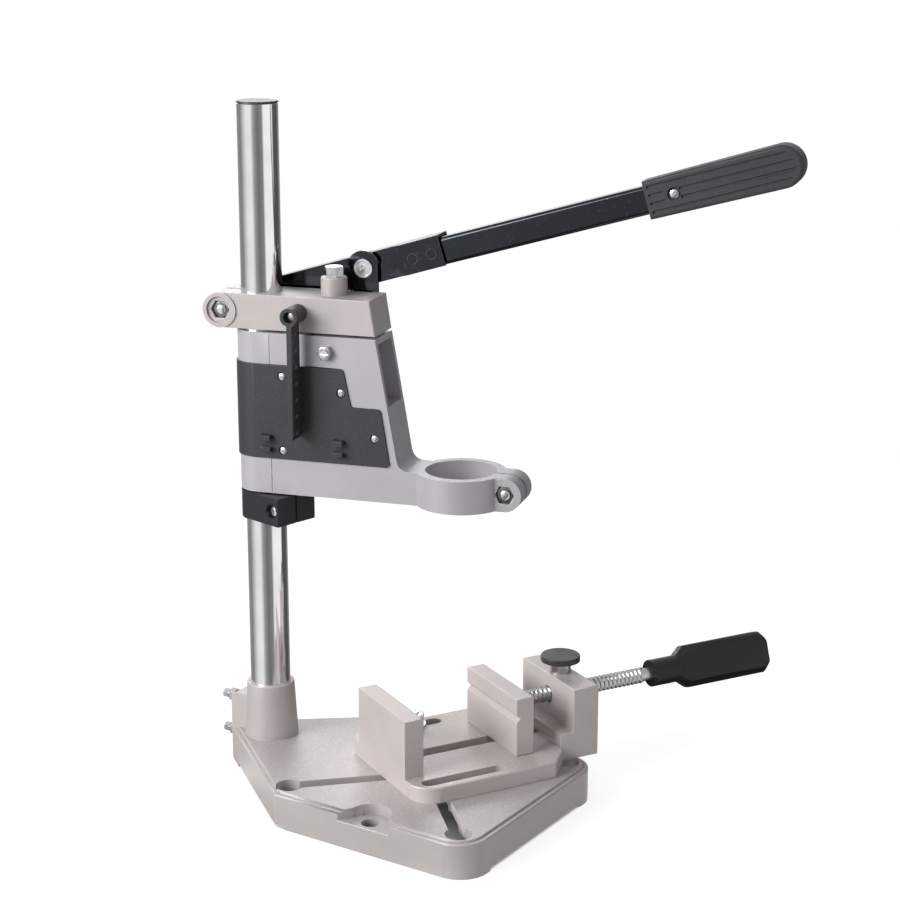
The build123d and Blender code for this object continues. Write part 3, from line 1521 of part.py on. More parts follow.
def vise_bolt():
    x, y = vise_bolt_place()
    plate_foot = base_top_z - base_plate_thickness
    top = bed_top_z + m8_washer_thickness + m8_nut_height + edge_radius
    bolt = rod_along_z(m8_radius, x, y, plate_foot, top + seat_gap)
    return bolt + hex_along_z(m8_flats_width, x, y, plate_foot - m8_head_height, plate_foot)


def vise_washer():
    x, y = vise_bolt_place()
    foot = bed_top_z + seat_gap
    washer = rod_along_z(m8_washer_radius, x, y, foot, foot + m8_washer_thickness)
    return washer - rod_along_z(m8_radius, x, y, foot - cut_over, foot + 2 * m8_washer_thickness)


def vise_nut():
    x, y = vise_bolt_place()
    foot = bed_top_z + seat_gap + m8_washer_thickness
    nut = hex_along_z(m8_flats_width, x, y, foot, foot + m8_nut_height)
    return nut - rod_along_z(m8_radius, x, y, foot - cut_over, foot + 2 * m8_nut_height)


# Placing and writing the pieces

head_frame = Rot(0, 0, head_swing)
ring_frame = Rot(0, 0, ring_turn)
vise_frame = Pos(vise_x, vise_y, 0) * Rot(0, 0, vise_turn)
base_frame = Pos(0, 0, 0)

pieces = {
    "base_casting": (base_frame, base_casting),
    "column_set_bolts": (base_frame, column_set_bolts),
    "column_set_nuts": (base_frame, column_set_nuts),
    "vise_bolt": (base_frame, vise_bolt),
    "vise_washer": (base_frame, vise_washer),
    "vise_nut": (base_frame, vise_nut),
    "column_tube": (base_frame, column_tube),
    "column_cap": (base_frame, column_cap),
    "head_block": (head_frame, head_block),
    "head_clamp_bolt": (head_frame, head_clamp_bolt),
    "head_clamp_nut": (head_frame, head_clamp_nut),
    "head_clamp_washer": (head_frame, head_clamp_washer),
    "lever_bush": (head_frame, lever_bush),
    "guide_rod": (head_frame, guide_rod),
    "guide_rod_bolt": (head_frame, guide_rod_bolt),
    "depth_scale": (head_frame, depth_scale),
    "depth_scale_screw": (head_frame, depth_scale_screw),
    "spring_pin_upper": (head_frame, lambda: spring_pin(spring_pin_upper_z)),
    "carriage_casting": (head_frame, carriage_casting),
    "column_bushes": (head_frame, column_bushes),
    "side_cover": (head_frame, side_cover),
    "cover_screws": (head_frame, cover_screws),
    "collar_clamp_bolt": (head_frame, collar_clamp_bolt),
    "collar_clamp_nut": (head_frame, collar_clamp_nut),
    "gib_screw": (head_frame, gib_screw),
    "gib_nut": (head_frame, gib_nut),
    "lever_bracket": (head_frame, lever_bracket),
    "bracket_screws": (head_frame, bracket_screws),
    "lever_pin_bolt": (head_frame, lever_pin_bolt),
    "lever_pin_nut": (head_frame, lever_pin_nut),
    "lever_pin_bush": (head_frame, lever_pin_bush),
    "spring_pin_lower": (head_frame, lambda: spring_pin(spring_pin_lower_z)),
    "return_spring": (head_frame, return_spring),
    "stop_ring": (ring_frame, stop_ring),
    "stop_ring_screw": (ring_frame, stop_ring_screw),
    "stop_ring_nut": (ring_frame, stop_ring_nut),
    "lever_channel": (head_frame, lever_channel),
    "lever_bar": (head_frame, lever_bar),
    "lever_rivets": (head_frame, lever_rivets),
    "lever_grip": (head_frame, lever_grip),
    "grip_screw": (head_frame, grip_screw),
    "vise_body": (vise_frame, vise_body),
    "moving_jaw": (vise_frame, moving_jaw),
    "jaw_keeper": (vise_frame, jaw_keeper),
    "keeper_screw": (vise_frame, keeper_screw),
    "screw_retainer": (vise_frame, screw_retainer),
    "retainer_screws": (vise_frame, retainer_screws),
    "lead_screw": (vise_frame, lead_screw),
    "vise_handle": (vise_frame, vise_handle),
    "handle_pin": (vise_frame, handle_pin),
    "release_plunger": (vise_frame, release_plunger),
    "release_knob": (vise_frame, release_knob),
    "release_spring": (vise_frame, release_spring),
}


def main():
    os.makedirs("parts", exist_ok=True)
    for name, (frame, make) in pieces.items():
        shape = make()
        solids = shape if isinstance(shape, list) else [shape]
        placed = [frame * solid for solid in solids]
        whole = placed[0] if len(placed) == 1 else Compound(children=placed)
        export_step(whole, "parts/" + name + ".step")


main()
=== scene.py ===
import json
import math
from collections import namedtuple

import bmesh
import bpy
from bpy.props import FloatProperty, FloatVectorProperty, IntProperty, PointerProperty
from mathutils import Matrix, Vector, geometry
from mathutils.bvhtree import BVHTree


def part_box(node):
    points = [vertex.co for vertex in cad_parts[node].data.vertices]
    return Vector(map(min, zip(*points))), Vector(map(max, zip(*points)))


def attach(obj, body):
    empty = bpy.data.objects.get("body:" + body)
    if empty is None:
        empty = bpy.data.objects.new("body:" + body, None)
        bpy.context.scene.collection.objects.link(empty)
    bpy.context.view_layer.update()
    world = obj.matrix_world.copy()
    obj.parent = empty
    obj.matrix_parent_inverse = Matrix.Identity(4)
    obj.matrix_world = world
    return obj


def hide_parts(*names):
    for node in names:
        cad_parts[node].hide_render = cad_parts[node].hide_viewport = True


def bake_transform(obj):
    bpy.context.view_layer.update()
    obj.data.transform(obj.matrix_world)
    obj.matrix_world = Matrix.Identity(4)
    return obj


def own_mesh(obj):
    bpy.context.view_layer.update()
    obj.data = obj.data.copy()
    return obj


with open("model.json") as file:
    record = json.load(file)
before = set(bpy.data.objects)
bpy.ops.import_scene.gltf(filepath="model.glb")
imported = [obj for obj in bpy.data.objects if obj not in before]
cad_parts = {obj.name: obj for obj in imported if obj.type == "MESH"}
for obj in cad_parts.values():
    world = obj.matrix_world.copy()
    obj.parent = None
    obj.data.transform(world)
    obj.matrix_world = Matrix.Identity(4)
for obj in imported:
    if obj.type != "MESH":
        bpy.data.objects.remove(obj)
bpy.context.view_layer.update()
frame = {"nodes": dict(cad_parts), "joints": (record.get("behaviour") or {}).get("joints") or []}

bl_info = {
    "name": "Bench Drill Stand",
    "version": (1, 0, 0),
    "blender": (4, 5, 0),
    "location": "View3D > Sidebar > Drill Stand",
    "description": "Dresses the packed drill stand with castings, chrome, plastics and fasteners",
    "category": "Object",
}

# Places in the frame. The CAD box is kept before any piece is added.
joints = {joint["name"]: joint for joint in frame["joints"]}
mm = 0.001
near, far = Vector((0, -1, 0)), Vector((0, 1, 0))
up, down = Vector((0, 0, 1)), Vector((0, 0, -1))

# Metric screws, with the width across the flats of their hexagons
Screw = namedtuple("Screw", "radius pitch flats")
m5 = Screw(2.5 * mm, 0.8 * mm, 8 * mm)
m6 = Screw(3 * mm, 1.0 * mm, 10 * mm)
m8 = Screw(4 * mm, 1.25 * mm, 13 * mm)

# Vertices of the CAD nodes, or of a turned shape, that are closer than this are one
weld = 0.002 * mm
fine_weld = 0.001 * mm


def turn_about_z(direction):
    return Matrix.Rotation(math.atan2(direction.y, direction.x), 4, "Z")


def middle(node):
    low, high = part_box(node)
    return (low + high) / 2


def extent(node, matrix):
    """The lowest and highest corners of a node in another frame."""
    inverse = matrix.inverted()
    columns = list(zip(*(inverse @ vert.co for vert in frame["nodes"][node].data.vertices)))
    return Vector([min(column) for column in columns]), Vector([max(column) for column in columns])


# The head's frame has X along the carriage arm and Y to the far side
far_side = Vector(joints["lever_turn"]["axis"])
head_frame = turn_about_z(Vector((far_side.y, -far_side.x, 0)))

# The vise's frame has X along its screw, with the origin on the floor under the bed
screw_mark = 60 * mm
screw_line = Vector(joints["jaw_slide"]["axis"])
vise_origin = Vector(joints["screw_turn"]["pos_m"]) - screw_line * screw_mark
vise_frame = Matrix.Translation((vise_origin.x, vise_origin.y, 0)) @ turn_about_z(screw_line)


def in_head(node):
    """The middle of a node in the head's frame."""
    return head_frame.inverted() @ middle(node)


def aimed(place, direction, matrix=None):
    """A matrix that puts height 0 at a place and turns +Z to a direction along an axis."""
    height = Vector(direction).normalized()
    side = Vector((1, 0, 0)) if abs(height.x) < 0.9 else Vector((0, 0, 1))
    side = (side - height * side.dot(height)).normalized()
    turn = Matrix((side, height.cross(side), height)).transposed().to_4x4()
    whole = Matrix.Translation(place) @ turn
    return matrix @ whole if matrix else whole


def across(place, seat, direction, matrix=head_frame):
    """As aimed, for a screw or nut across the stand: it sits at a Y and looks near or far."""
    return aimed((place.x, seat, place.z), direction, matrix)


class StandSizes(bpy.types.PropertyGroup):
    """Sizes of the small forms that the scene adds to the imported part."""

    edge: FloatProperty(
        name="Casting edge", description="Width of the worn edge of a casting",
        default=0.45 * mm, min=0.0, unit="LENGTH")
    fine_edge: FloatProperty(
        name="Fine edge", description="Width of the edge of a moulded or pressed piece",
        default=0.25 * mm, min=0.0, unit="LENGTH")
    handle_edge: FloatProperty(
        name="Handle edge", description="Width of the rounded edges of the vise handle",
        default=0.9 * mm, min=0.0, unit="LENGTH")
    washer_edge: FloatProperty(
        name="Washer edge", description="Width of the edge of the vise washer",
        default=0.2 * mm, min=0.0, unit="LENGTH")
    sharp_angle: FloatProperty(
        name="Sharp angle", description="Faces that meet at more than this get a rounded edge",
        default=math.radians(32), subtype="ANGLE")
    shortest_edge: FloatProperty(
        name="Shortest edge", description="Edges shorter than this stay sharp",
        default=3 * mm, unit="LENGTH")
    lead_pitch: FloatProperty(
        name="Lead screw pitch", description="Travel of the jaw for one turn of the handle",
        default=3 * mm, unit="LENGTH")
    spring_wire: FloatProperty(
        name="Spring wire", description="Radius of the wire of both springs",
        default=0.55 * mm, unit="LENGTH")
    scale_step: FloatProperty(
        name="Scale step", description="Distance between the marks of the depth scale",
        default=1 * mm, unit="LENGTH")
    scale_marks: IntProperty(
        name="Scale marks", description="Number of steps on the depth scale", default=60, min=10)


class StandColours(bpy.types.PropertyGroup):
    """Colours of the finishes."""

    cast: FloatVectorProperty(
        name="Silver casting", description="Bare blasted aluminium of the carriage",
        default=(0.505, 0.490, 0.510), subtype="COLOR", size=3)
    head: FloatVectorProperty(
        name="Head paint", description="Silver paint of the head block",
        default=(0.545, 0.500, 0.495), subtype="COLOR", size=3)
    base: FloatVectorProperty(
        name="Base paint", description="Silver paint of the base",
        default=(0.585, 0.540, 0.532), subtype="COLOR", size=3)
    vise: FloatVectorProperty(
        name="Vise paint", description="Silver paint of the vise",
        default=(0.650, 0.590, 0.572), subtype="COLOR", size=3)
    chrome: FloatVectorProperty(
        name="Chrome", description="Plating of the column",
        default=(0.86, 0.86, 0.87), subtype="COLOR", size=3)
    dark_chrome: FloatVectorProperty(
        name="Dark chrome", description="Plating of the lever",
        default=(0.040, 0.043, 0.049), subtype="COLOR", size=3)
    zinc: FloatVectorProperty(
        name="Zinc", description="Plating of the screws and nuts",
        default=(0.74, 0.74, 0.75), subtype="COLOR", size=3)
    bronze: FloatVectorProperty(
        name="Bronze", description="Bushes of the column and the fulcrum",
        default=(0.62, 0.42, 0.20), subtype="COLOR", size=3)
    plastic: FloatVectorProperty(
        name="Black plastic", description="Moulded cover, scale and knob",
        default=(0.034, 0.032, 0.036), subtype="COLOR", size=3)
    handle: FloatVectorProperty(
        name="Handle plastic", description="Glossy plastic of the vise handle",
        default=(0.011, 0.012, 0.014), subtype="COLOR", size=3)
    ring: FloatVectorProperty(
        name="Black casting", description="Painted stop ring",
        default=(0.020, 0.019, 0.023), subtype="COLOR", size=3)
    ink: FloatVectorProperty(
        name="Ink", description="Marks and numbers of the depth scale",
        default=(0.34, 0.34, 0.33), subtype="COLOR", size=3)


class StandStage(bpy.types.PropertyGroup):
    """Camera, lamps and floor."""

    lens: FloatProperty(
        name="Lens", description="Focal length on a 36 mm sensor",
        default=82.65, subtype="DISTANCE_CAMERA")
    camera_place: FloatVectorProperty(
        name="Camera", description="Where the camera stands",
        default=(0.7622, -0.9553, 0.5316), subtype="XYZ", unit="LENGTH", size=3)
    camera_aim: FloatVectorProperty(
        name="Aim", description="Direction in which the camera looks",
        default=(-0.5304, 0.8074, -0.2583), subtype="DIRECTION", size=3)
    key_power: FloatProperty(
        name="Key lamp", description="Power of the large lamp at the left",
        default=27.0, unit="POWER")
    back_power: FloatProperty(
        name="Back lamp", description="Power of the lamp behind the stand",
        default=2.1, unit="POWER")
    ambient: FloatProperty(
        name="Ambient", description="Light of the room on all sides", default=0.37, min=0.0)
    floor_glow: FloatProperty(
        name="Floor glow", description="Brightness of the open floor to the camera",
        default=0.86, min=0.0)
    floor_radius: FloatProperty(
        name="Floor radius", description="Radius of the round floor", default=0.9, unit="LENGTH")


# Materials

def shaded(colour, share):
    return tuple(channel * share for channel in colour[:3]) + (1.0,)


def grey(value):
    return (value, value, value, 1.0)


class Recipe:
    """Adds nodes to a node tree. A value is a number, a colour or the socket that gives it."""

    def __init__(self, tree):
        self.nodes = tree.nodes
        self.links = tree.links
        self.place = self.nodes.new("ShaderNodeTexCoord").outputs

    def fill(self, socket, value):
        if isinstance(value, bpy.types.NodeSocket):
            self.links.new(value, socket)
        else:
            socket.default_value = value

    def node(self, kind, **values):
        """Adds a node and fills its sockets by name."""
        made = self.nodes.new(kind)
        for name, value in values.items():
            self.fill(made.inputs[name.replace("_", " ")], value)
        return made

    def maths(self, operation, *values):
        made = self.nodes.new("ShaderNodeMath")
        made.operation = operation
        for socket, value in zip(made.inputs, values):
            self.fill(socket, value)
        return made.outputs["Value"]

    def product(self, value_a, value_b):
        return self.maths("MULTIPLY", value_a, value_b)

    def noise(self, scale, detail=2.0, stretch=(1, 1, 1)):
        """A noise pattern in object space; scale counts cells to the metre."""
        mapping = self.node("ShaderNodeMapping", Vector=self.place["Object"], Scale=stretch)
        return self.node("ShaderNodeTexNoise", Vector=mapping.outputs["Vector"],
                         Scale=scale, Detail=detail).outputs["Fac"]

    def ranged(self, value, low, high, start=0.3, end=0.7):
        """Maps a value between start and end to one between low and high, and stops there."""
        return self.node("ShaderNodeMapRange", Value=value, From_Min=start, From_Max=end,
                         To_Min=low, To_Max=high).outputs["Result"]

    def mixed(self, factor, colour_a, colour_b):
        mix = self.nodes.new("ShaderNodeMix")
        mix.data_type = "RGBA"
        for name, value in (("Factor", factor), ("A", colour_a), ("B", colour_b)):
            self.fill(mix.inputs[name], value)
        return mix.outputs["Result"]

    def edge_mask(self, width):
        """1 where a face turns into the next one within a width, and 0 on open faces."""
        rounded = self.node("ShaderNodeBevel", Radius=width)
        rounded.samples = 4
        surface = self.nodes.new("ShaderNodeNewGeometry")
        turn = self.nodes.new("ShaderNodeVectorMath")
        turn.operation = "DOT_PRODUCT"
        self.fill(turn.inputs[0], rounded.outputs["Normal"])
        self.fill(turn.inputs[1], surface.outputs["Normal"])
        return self.ranged(turn.outputs["Value"], 1, 0, start=0.78, end=0.985)

    def looking_up(self):
        """1 on faces that look up in the piece's own frame, and 0 on walls."""
        split = self.node("ShaderNodeSeparateXYZ", Vector=self.place["Normal"])
        return self.ranged(split.outputs["Z"], 0, 1, start=0.6, end=0.95)

    def recesses(self, reach):
        """1 deep in the slots and corners of a piece, and 0 on its open faces."""
        sky = self.node("ShaderNodeAmbientOcclusion", Distance=reach)
        sky.samples = 6
        sky.only_local = True
        return self.ranged(sky.outputs["AO"], 1, 0, start=0.10, end=0.62)


class Finish(Recipe):
    """A material with one shader."""

    def __init__(self, name):
        self.material = bpy.data.materials.new(name)
        self.material.use_nodes = True
        super().__init__(self.material.node_tree)
        self.shader = self.nodes["Principled BSDF"].inputs

    def coated(self, **values):
        """Fills the shader's sockets by name."""
        for name, value in values.items():
            self.fill(self.shader[name.replace("_", " ")], value)

    def bumped(self, *layers):
        """Chains bump layers, each given as (height, strength, depth)."""
        normal = None
        for height, strength, depth in layers:
            bump = self.node("ShaderNodeBump", Height=height, Strength=strength, Distance=depth)
            if normal:
                self.fill(bump.inputs["Normal"], normal)
            normal = bump.outputs["Normal"]
        self.coated(Normal=normal)


def cast_metal(name, colour, gloss):
    """Painted cast aluminium: pale flecks on its tops as painted glints, painted shade in its slots
    and corners, and edges that are paler partly as wear and partly as a painted highlight.
    """
    look = Finish(name)
    fine = look.noise(2400)
    grain = look.noise(1050)
    dimples = look.noise(420, detail=1)
    broad = look.noise(30, detail=3)
    top = look.looking_up()
    mottled = look.mixed(look.ranged(broad, 0, 1), shaded(colour, 0.95), shaded(colour, 1.04))
    pits = look.ranged(grain, 0.28, 0, start=0.34, end=0.46)
    pitted = look.mixed(pits, mottled, shaded(colour, 0.82))
    # Painted glints: pale flecks of the grain on faces that look up, and none on walls.
    top_glints = look.product(top, look.ranged(grain, 0, 0.55, start=0.59, end=0.67))
    glinted = look.mixed(top_glints, pitted, shaded(colour, 1.45))
    # Painted shade: ambient occlusion darkens slots and corners towards a third of the colour.
    corner_shaded = look.mixed(look.recesses(12 * mm), glinted, shaded(colour, 0.32))
    # Edges turn paler and glossier, partly as wear and partly as a painted highlight.
    edge_wear_and_highlight = look.product(look.edge_mask(0.9 * mm),
                          look.ranged(dimples, 0.25, 1, start=0.35, end=0.55))
    dull = look.ranged(grain, gloss + 0.06, gloss - 0.10)
    look.coated(Base_Color=look.mixed(edge_wear_and_highlight, corner_shaded, shaded(colour, 1.42)),
                Roughness=look.mixed(edge_wear_and_highlight, dull, grey(0.24)), Metallic=0.15)
    hammered = look.product(grain, top)
    look.bumped((hammered, 0.6, 0.24 * mm), (dimples, 0.25, 0.14 * mm),
                (grain, 0.3, 0.12 * mm), (fine, 0.2, 0.05 * mm))
    return look.material


def plated_metal(name, colour, gloss, specks=0.0, edge_wear_and_highlight=0.0, streak=(1, 1, 1)):
    """Bright plating with faint streaks and, on dark plating, pale specks and pale edges; the edges
    are partly wear and partly a painted highlight.
    """
    look = Finish(name)
    polish = look.noise(260, detail=4, stretch=streak)
    haze = look.ranged(look.noise(60), 0, 1)
    base = look.mixed(haze, shaded(colour, 0.93), shaded(colour, 1.05))
    if specks:
        dust = look.ranged(look.noise(700, detail=1), 0, specks, start=0.66, end=0.74)
        base = look.mixed(dust, base, (0.7, 0.7, 0.72, 1))
    # Pale edges, partly wear and partly a painted highlight.
    if edge_wear_and_highlight:
        bright = look.product(look.edge_mask(0.5 * mm), look.ranged(polish, 0.3 * edge_wear_and_highlight, edge_wear_and_highlight))
        base = look.mixed(bright, base, (0.62, 0.60, 0.58, 1))
    look.coated(Base_Color=base, Metallic=1.0,
                Roughness=look.ranged(polish, gloss * 0.7, gloss * 1.5))
    look.bumped((polish, 0.06, 0.02 * mm))
    return look.material


def moulded_plastic(name, colour, gloss, grain_scale=900, grain_depth=0.06 * mm, specular=0.5):
    """Black moulded plastic with a leathered grain, dull patches and slightly paler edges."""
    look = Finish(name)
    grain = look.noise(grain_scale, detail=3)
    dull = look.noise(45, detail=4)
    base = look.mixed(look.ranged(dull, 0, 1), shaded(colour, 0.86), shaded(colour, 1.16))
    speckles = look.ranged(grain, 0, 0.5, start=0.5, end=0.7)
    speckled = look.mixed(speckles, base, shaded(colour, 1.9))
    pale = look.product(look.edge_mask(0.6 * mm), 0.35)
    look.coated(Base_Color=look.mixed(pale, speckled, shaded(colour, 4.0)),
                Roughness=look.ranged(dull, gloss + 0.06, gloss - 0.05),
                Specular_IOR_Level=specular)
    look.bumped((grain, 0.3, grain_depth))
    return look.material


def printed_paint(name, colour):
    """Flat printing ink with slightly broken cover."""
    look = Finish(name)
    cover = look.noise(1100)
    broken = look.mixed(look.ranged(cover, 0, 1), shaded(colour, 0.86), shaded(colour, 1))
    look.coated(Base_Color=broken, Roughness=look.ranged(cover, 0.42, 0.62))
    look.bumped((cover, 0.1, 0.02 * mm))
    return look.material


finishes = {}


def make_finishes():
    """One material for each finish of the stand."""
    colours = bpy.context.scene.stand_colours
    upright = (1, 1, 0.04)
    finishes.update(
        cast=cast_metal("cast_aluminium", colours.cast, 0.42),
        head=cast_metal("head_paint", colours.head, 0.46),
        base=cast_metal("base_paint", colours.base, 0.44),
        vise=cast_metal("vise_paint", colours.vise, 0.44),
        chrome=plated_metal("chrome", colours.chrome, 0.07, streak=upright),
        dark_chrome=plated_metal("dark_chrome", colours.dark_chrome, 0.10, specks=0.06, edge_wear_and_highlight=0.7),
        dark_rivet=plated_metal("dark_rivet", colours.dark_chrome, 0.12),
        zinc=plated_metal("zinc", colours.zinc, 0.22),
        # Zinc darkened to a third for the nuts deep in their pockets: painted shade.
        dull_zinc=plated_metal("dull_zinc", shaded(colours.zinc, 0.30), 0.34, edge_wear_and_highlight=0.5),
        steel=plated_metal("turned_steel", shaded(colours.zinc, 0.68), 0.26),
        bronze=plated_metal("bronze", colours.bronze, 0.30),
        plastic=moulded_plastic("black_plastic", colours.plastic, 0.46),
        grip=moulded_plastic("grip_rubber", shaded(colours.plastic, 1.15), 0.50,
                             grain_scale=1000, grain_depth=0.14 * mm),
        handle=moulded_plastic("handle_plastic", colours.handle, 0.24,
                               grain_scale=500, grain_depth=0.03 * mm, specular=0.3),
        ring=moulded_plastic("black_casting", colours.ring, 0.48,
                             grain_scale=650, grain_depth=0.10 * mm, specular=0.35),
        ink=printed_paint("grey_ink", colours.ink),
    )


# Mesh tools

def object_from(bm, name):
    """Turns a bmesh into an object of the scene."""
    mesh = bpy.data.meshes.new(name)
    bm.to_mesh(mesh)
    bm.free()
    item = bpy.data.objects.new(name, mesh)
    bpy.context.scene.collection.objects.link(item)
    return item


def shape_of(item):
    """A bmesh of an object as its modifiers or its text leave it."""
    bpy.context.view_layer.update()
    seen = item.evaluated_get(bpy.context.evaluated_depsgraph_get())
    mesh = bpy.data.meshes.new_from_object(seen)
    bm = bmesh.new()
    bm.from_mesh(mesh)
    bpy.data.meshes.remove(mesh)
    return bm


def piece_from(bm, name, finish, body, replaced=(), smooth=True):
    """Turns a bmesh into a piece that rides a body, if given, and takes the place of CAD nodes."""
    piece = object_from(bm, name)
    piece.data.materials.append(finishes[finish])
    if smooth:
        soften(piece)
    if body:
        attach(piece, body)
    if replaced:
        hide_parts(*replaced)
    return piece


def soften(piece):
    """Smooth shading with crisp edges and normals that keep flat faces flat."""
    for polygon in piece.data.polygons:
        polygon.use_smooth = True
    piece.data.set_sharp_from_angle(angle=bpy.context.scene.stand_sizes.sharp_angle)
    weighted = piece.modifiers.new("weighted_normals", "WEIGHTED_NORMAL")
    weighted.keep_sharp = True
    weighted.weight = 50


def merged_copy(nodes):
    """A closed copy of one or more CAD nodes, with its flat faces joined up."""
    bm = bmesh.new()
    for node in nodes:
        bm.from_mesh(frame["nodes"][node].data)
    bmesh.ops.remove_doubles(bm, verts=bm.verts, dist=weld)
    bmesh.ops.dissolve_limit(bm, angle_limit=math.radians(0.4), verts=bm.verts, edges=bm.edges)
    return bm


def crossings(bm):
    """The middles of faces that run through a face they don't touch."""
    trial = bm.copy()
    bmesh.ops.triangulate(trial, faces=trial.faces)
    trial.faces.ensure_lookup_table()
    tree = BVHTree.FromBMesh(trial)
    spots = []
    for pair in tree.overlap(tree):
        one, other = (trial.faces[index] for index in pair)
        if pair[0] < pair[1] and not set(one.verts) & set(other.verts):
            spots += [one.calc_center_median(), other.calc_center_median()]
    trial.free()
    return spots


def is_near(edge, spots, reach):
    """Whether an edge passes a spot within a distance."""
    start, end = (vert.co for vert in edge.verts)
    for spot in spots:
        place, share = geometry.intersect_point_line(spot, start, end)
        nearest = start.lerp(end, min(max(share, 0), 1))
        if (nearest - spot).length < reach:
            return True
    return False


def round_sharp_edges(bm, width):
    """Bevels the long sharp edges, and leaves out those whose bevel would run into a neighbour."""
    sizes = bpy.context.scene.stand_sizes
    spots = []
    for widths in (3, 6, 12, 24):
        trial = bm.copy()
        sharp = [edge for edge in trial.edges if edge.calc_length() > sizes.shortest_edge
                 and len(edge.link_faces) == 2 and edge.calc_face_angle() > sizes.sharp_angle
                 and not is_near(edge, spots, widths * width)]
        bmesh.ops.bevel(trial, geom=sharp, offset=width, offset_type="OFFSET", segments=2,
                        profile=0.5, affect="EDGES", material=-1, clamp_overlap=False,
                        loop_slide=True)
        bmesh.ops.remove_doubles(trial, verts=trial.verts, dist=weld)
        found = crossings(trial)
        if not found:
            bm.free()
            return trial
        spots += found
        trial.free()
    return bm


def dressed(name, node, finish, body, width=0.0):
    """A casting or moulding as its CAD node has it, with softly broken edges."""
    bm = merged_copy([node])
    if width:
        bm = round_sharp_edges(bm, width)
    return piece_from(bm, name, finish, body, [node])


def added(bm, part, matrix):
    """Moves a finished part by a matrix and joins it to a bmesh."""
    part.transform(matrix)
    mesh = bpy.data.meshes.new("part")
    part.to_mesh(mesh)
    part.free()
    bm.from_mesh(mesh)
    bpy.data.meshes.remove(mesh)


def swept(bm, turns, steps, axis=(0, 0, 1), rise=0.0, joint=fine_weld):
    """Spins an outline about the origin to a closed shell. One that rises on its way gets caps."""
    bmesh.ops.spin(bm, geom=list(bm.verts) + list(bm.edges), cent=(0, 0, 0), axis=axis,
                   angle=2 * math.pi * turns, steps=steps, dvec=(0, 0, rise / steps),
                   use_merge=not rise)
    bmesh.ops.remove_doubles(bm, verts=bm.verts, dist=joint)
    bmesh.ops.holes_fill(bm, edges=[edge for edge in bm.edges if edge.is_boundary])
    bmesh.ops.recalc_face_normals(bm, faces=bm.faces)
    if bm.calc_volume(signed=True) < 0:
        bmesh.ops.reverse_faces(bm, faces=bm.faces)
    return bm


def outline(points):
    """An open row of edges through (radius, height) points."""
    bm = bmesh.new()
    verts = [bm.verts.new((radius, 0, height)) for radius, height in points]
    for pair in zip(verts, verts[1:]):
        bm.edges.new(pair)
    return bm


def spun(profile, segments=48, radius=1.0, height=1.0):
    """A closed turned shape from (radius, height) points, which may be shares of its size."""
    return swept(outline([(r * radius, h * height) for r, h in profile]), 1, segments)


def rod(radius, length, chamfer=0.2 * mm):
    """A turned rod from height 0 with a chamfer at both ends."""
    return spun([(0, 0), (radius - chamfer, 0), (radius, chamfer), (radius, length - chamfer),
                 (radius - chamfer, length), (0, length)], 40)


def thread(radius, pitch, length, depth, flat_share=0.15):
    """A screw thread along +Z as one closed helical surface."""
    root = radius - depth
    points = [(root, 0), (root, flat_share), (radius, 0.5 - flat_share),
              (radius, 0.5 + flat_share), (root, 1 - flat_share), (root, 1)]
    turns = max(1, round(length / pitch) - 1)
    return swept(outline([(r, share * pitch) for r, share in points]), turns, 28 * turns,
                 rise=pitch * turns, joint=0.004 * mm)


def stud(size, length):
    """A threaded rod whose ends are turned down."""
    depth, end = size.pitch * 0.55, size.pitch * 0.4
    core = rod(size.radius - depth * 0.8, length, end)
    added(core, thread(size.radius, size.pitch, length - size.pitch, depth),
          Matrix.Translation((0, 0, end)))
    return core


def coil(radius, wire, length, turns):
    """A coiled wire from height 0, wound about +Z, with closed ends."""
    bm = bmesh.new()
    ring = bmesh.ops.create_circle(bm, cap_ends=False, segments=8, radius=wire)["verts"]
    bmesh.ops.rotate(bm, verts=ring, cent=(0, 0, 0), matrix=Matrix.Rotation(math.pi / 2, 3, "X"))
    bmesh.ops.translate(bm, verts=ring, vec=(radius - wire, 0, wire))
    return swept(bm, turns, int(20 * turns), rise=length - 2 * wire)


def wire_eye(radius, wire):
    """A closed ring of wire about the Y axis."""
    bm = bmesh.new()
    ring = bmesh.ops.create_circle(bm, cap_ends=False, segments=8, radius=wire)["verts"]
    bmesh.ops.translate(bm, verts=ring, vec=(radius, 0, 0))
    return swept(bm, 1, 24, axis=(0, 1, 0))


def hex_radius(angle, flats):
    """Distance from the centre of a hexagon to its side in a direction."""
    sixth = math.pi / 3
    return flats / 2 / math.cos(angle % sixth - sixth / 2)


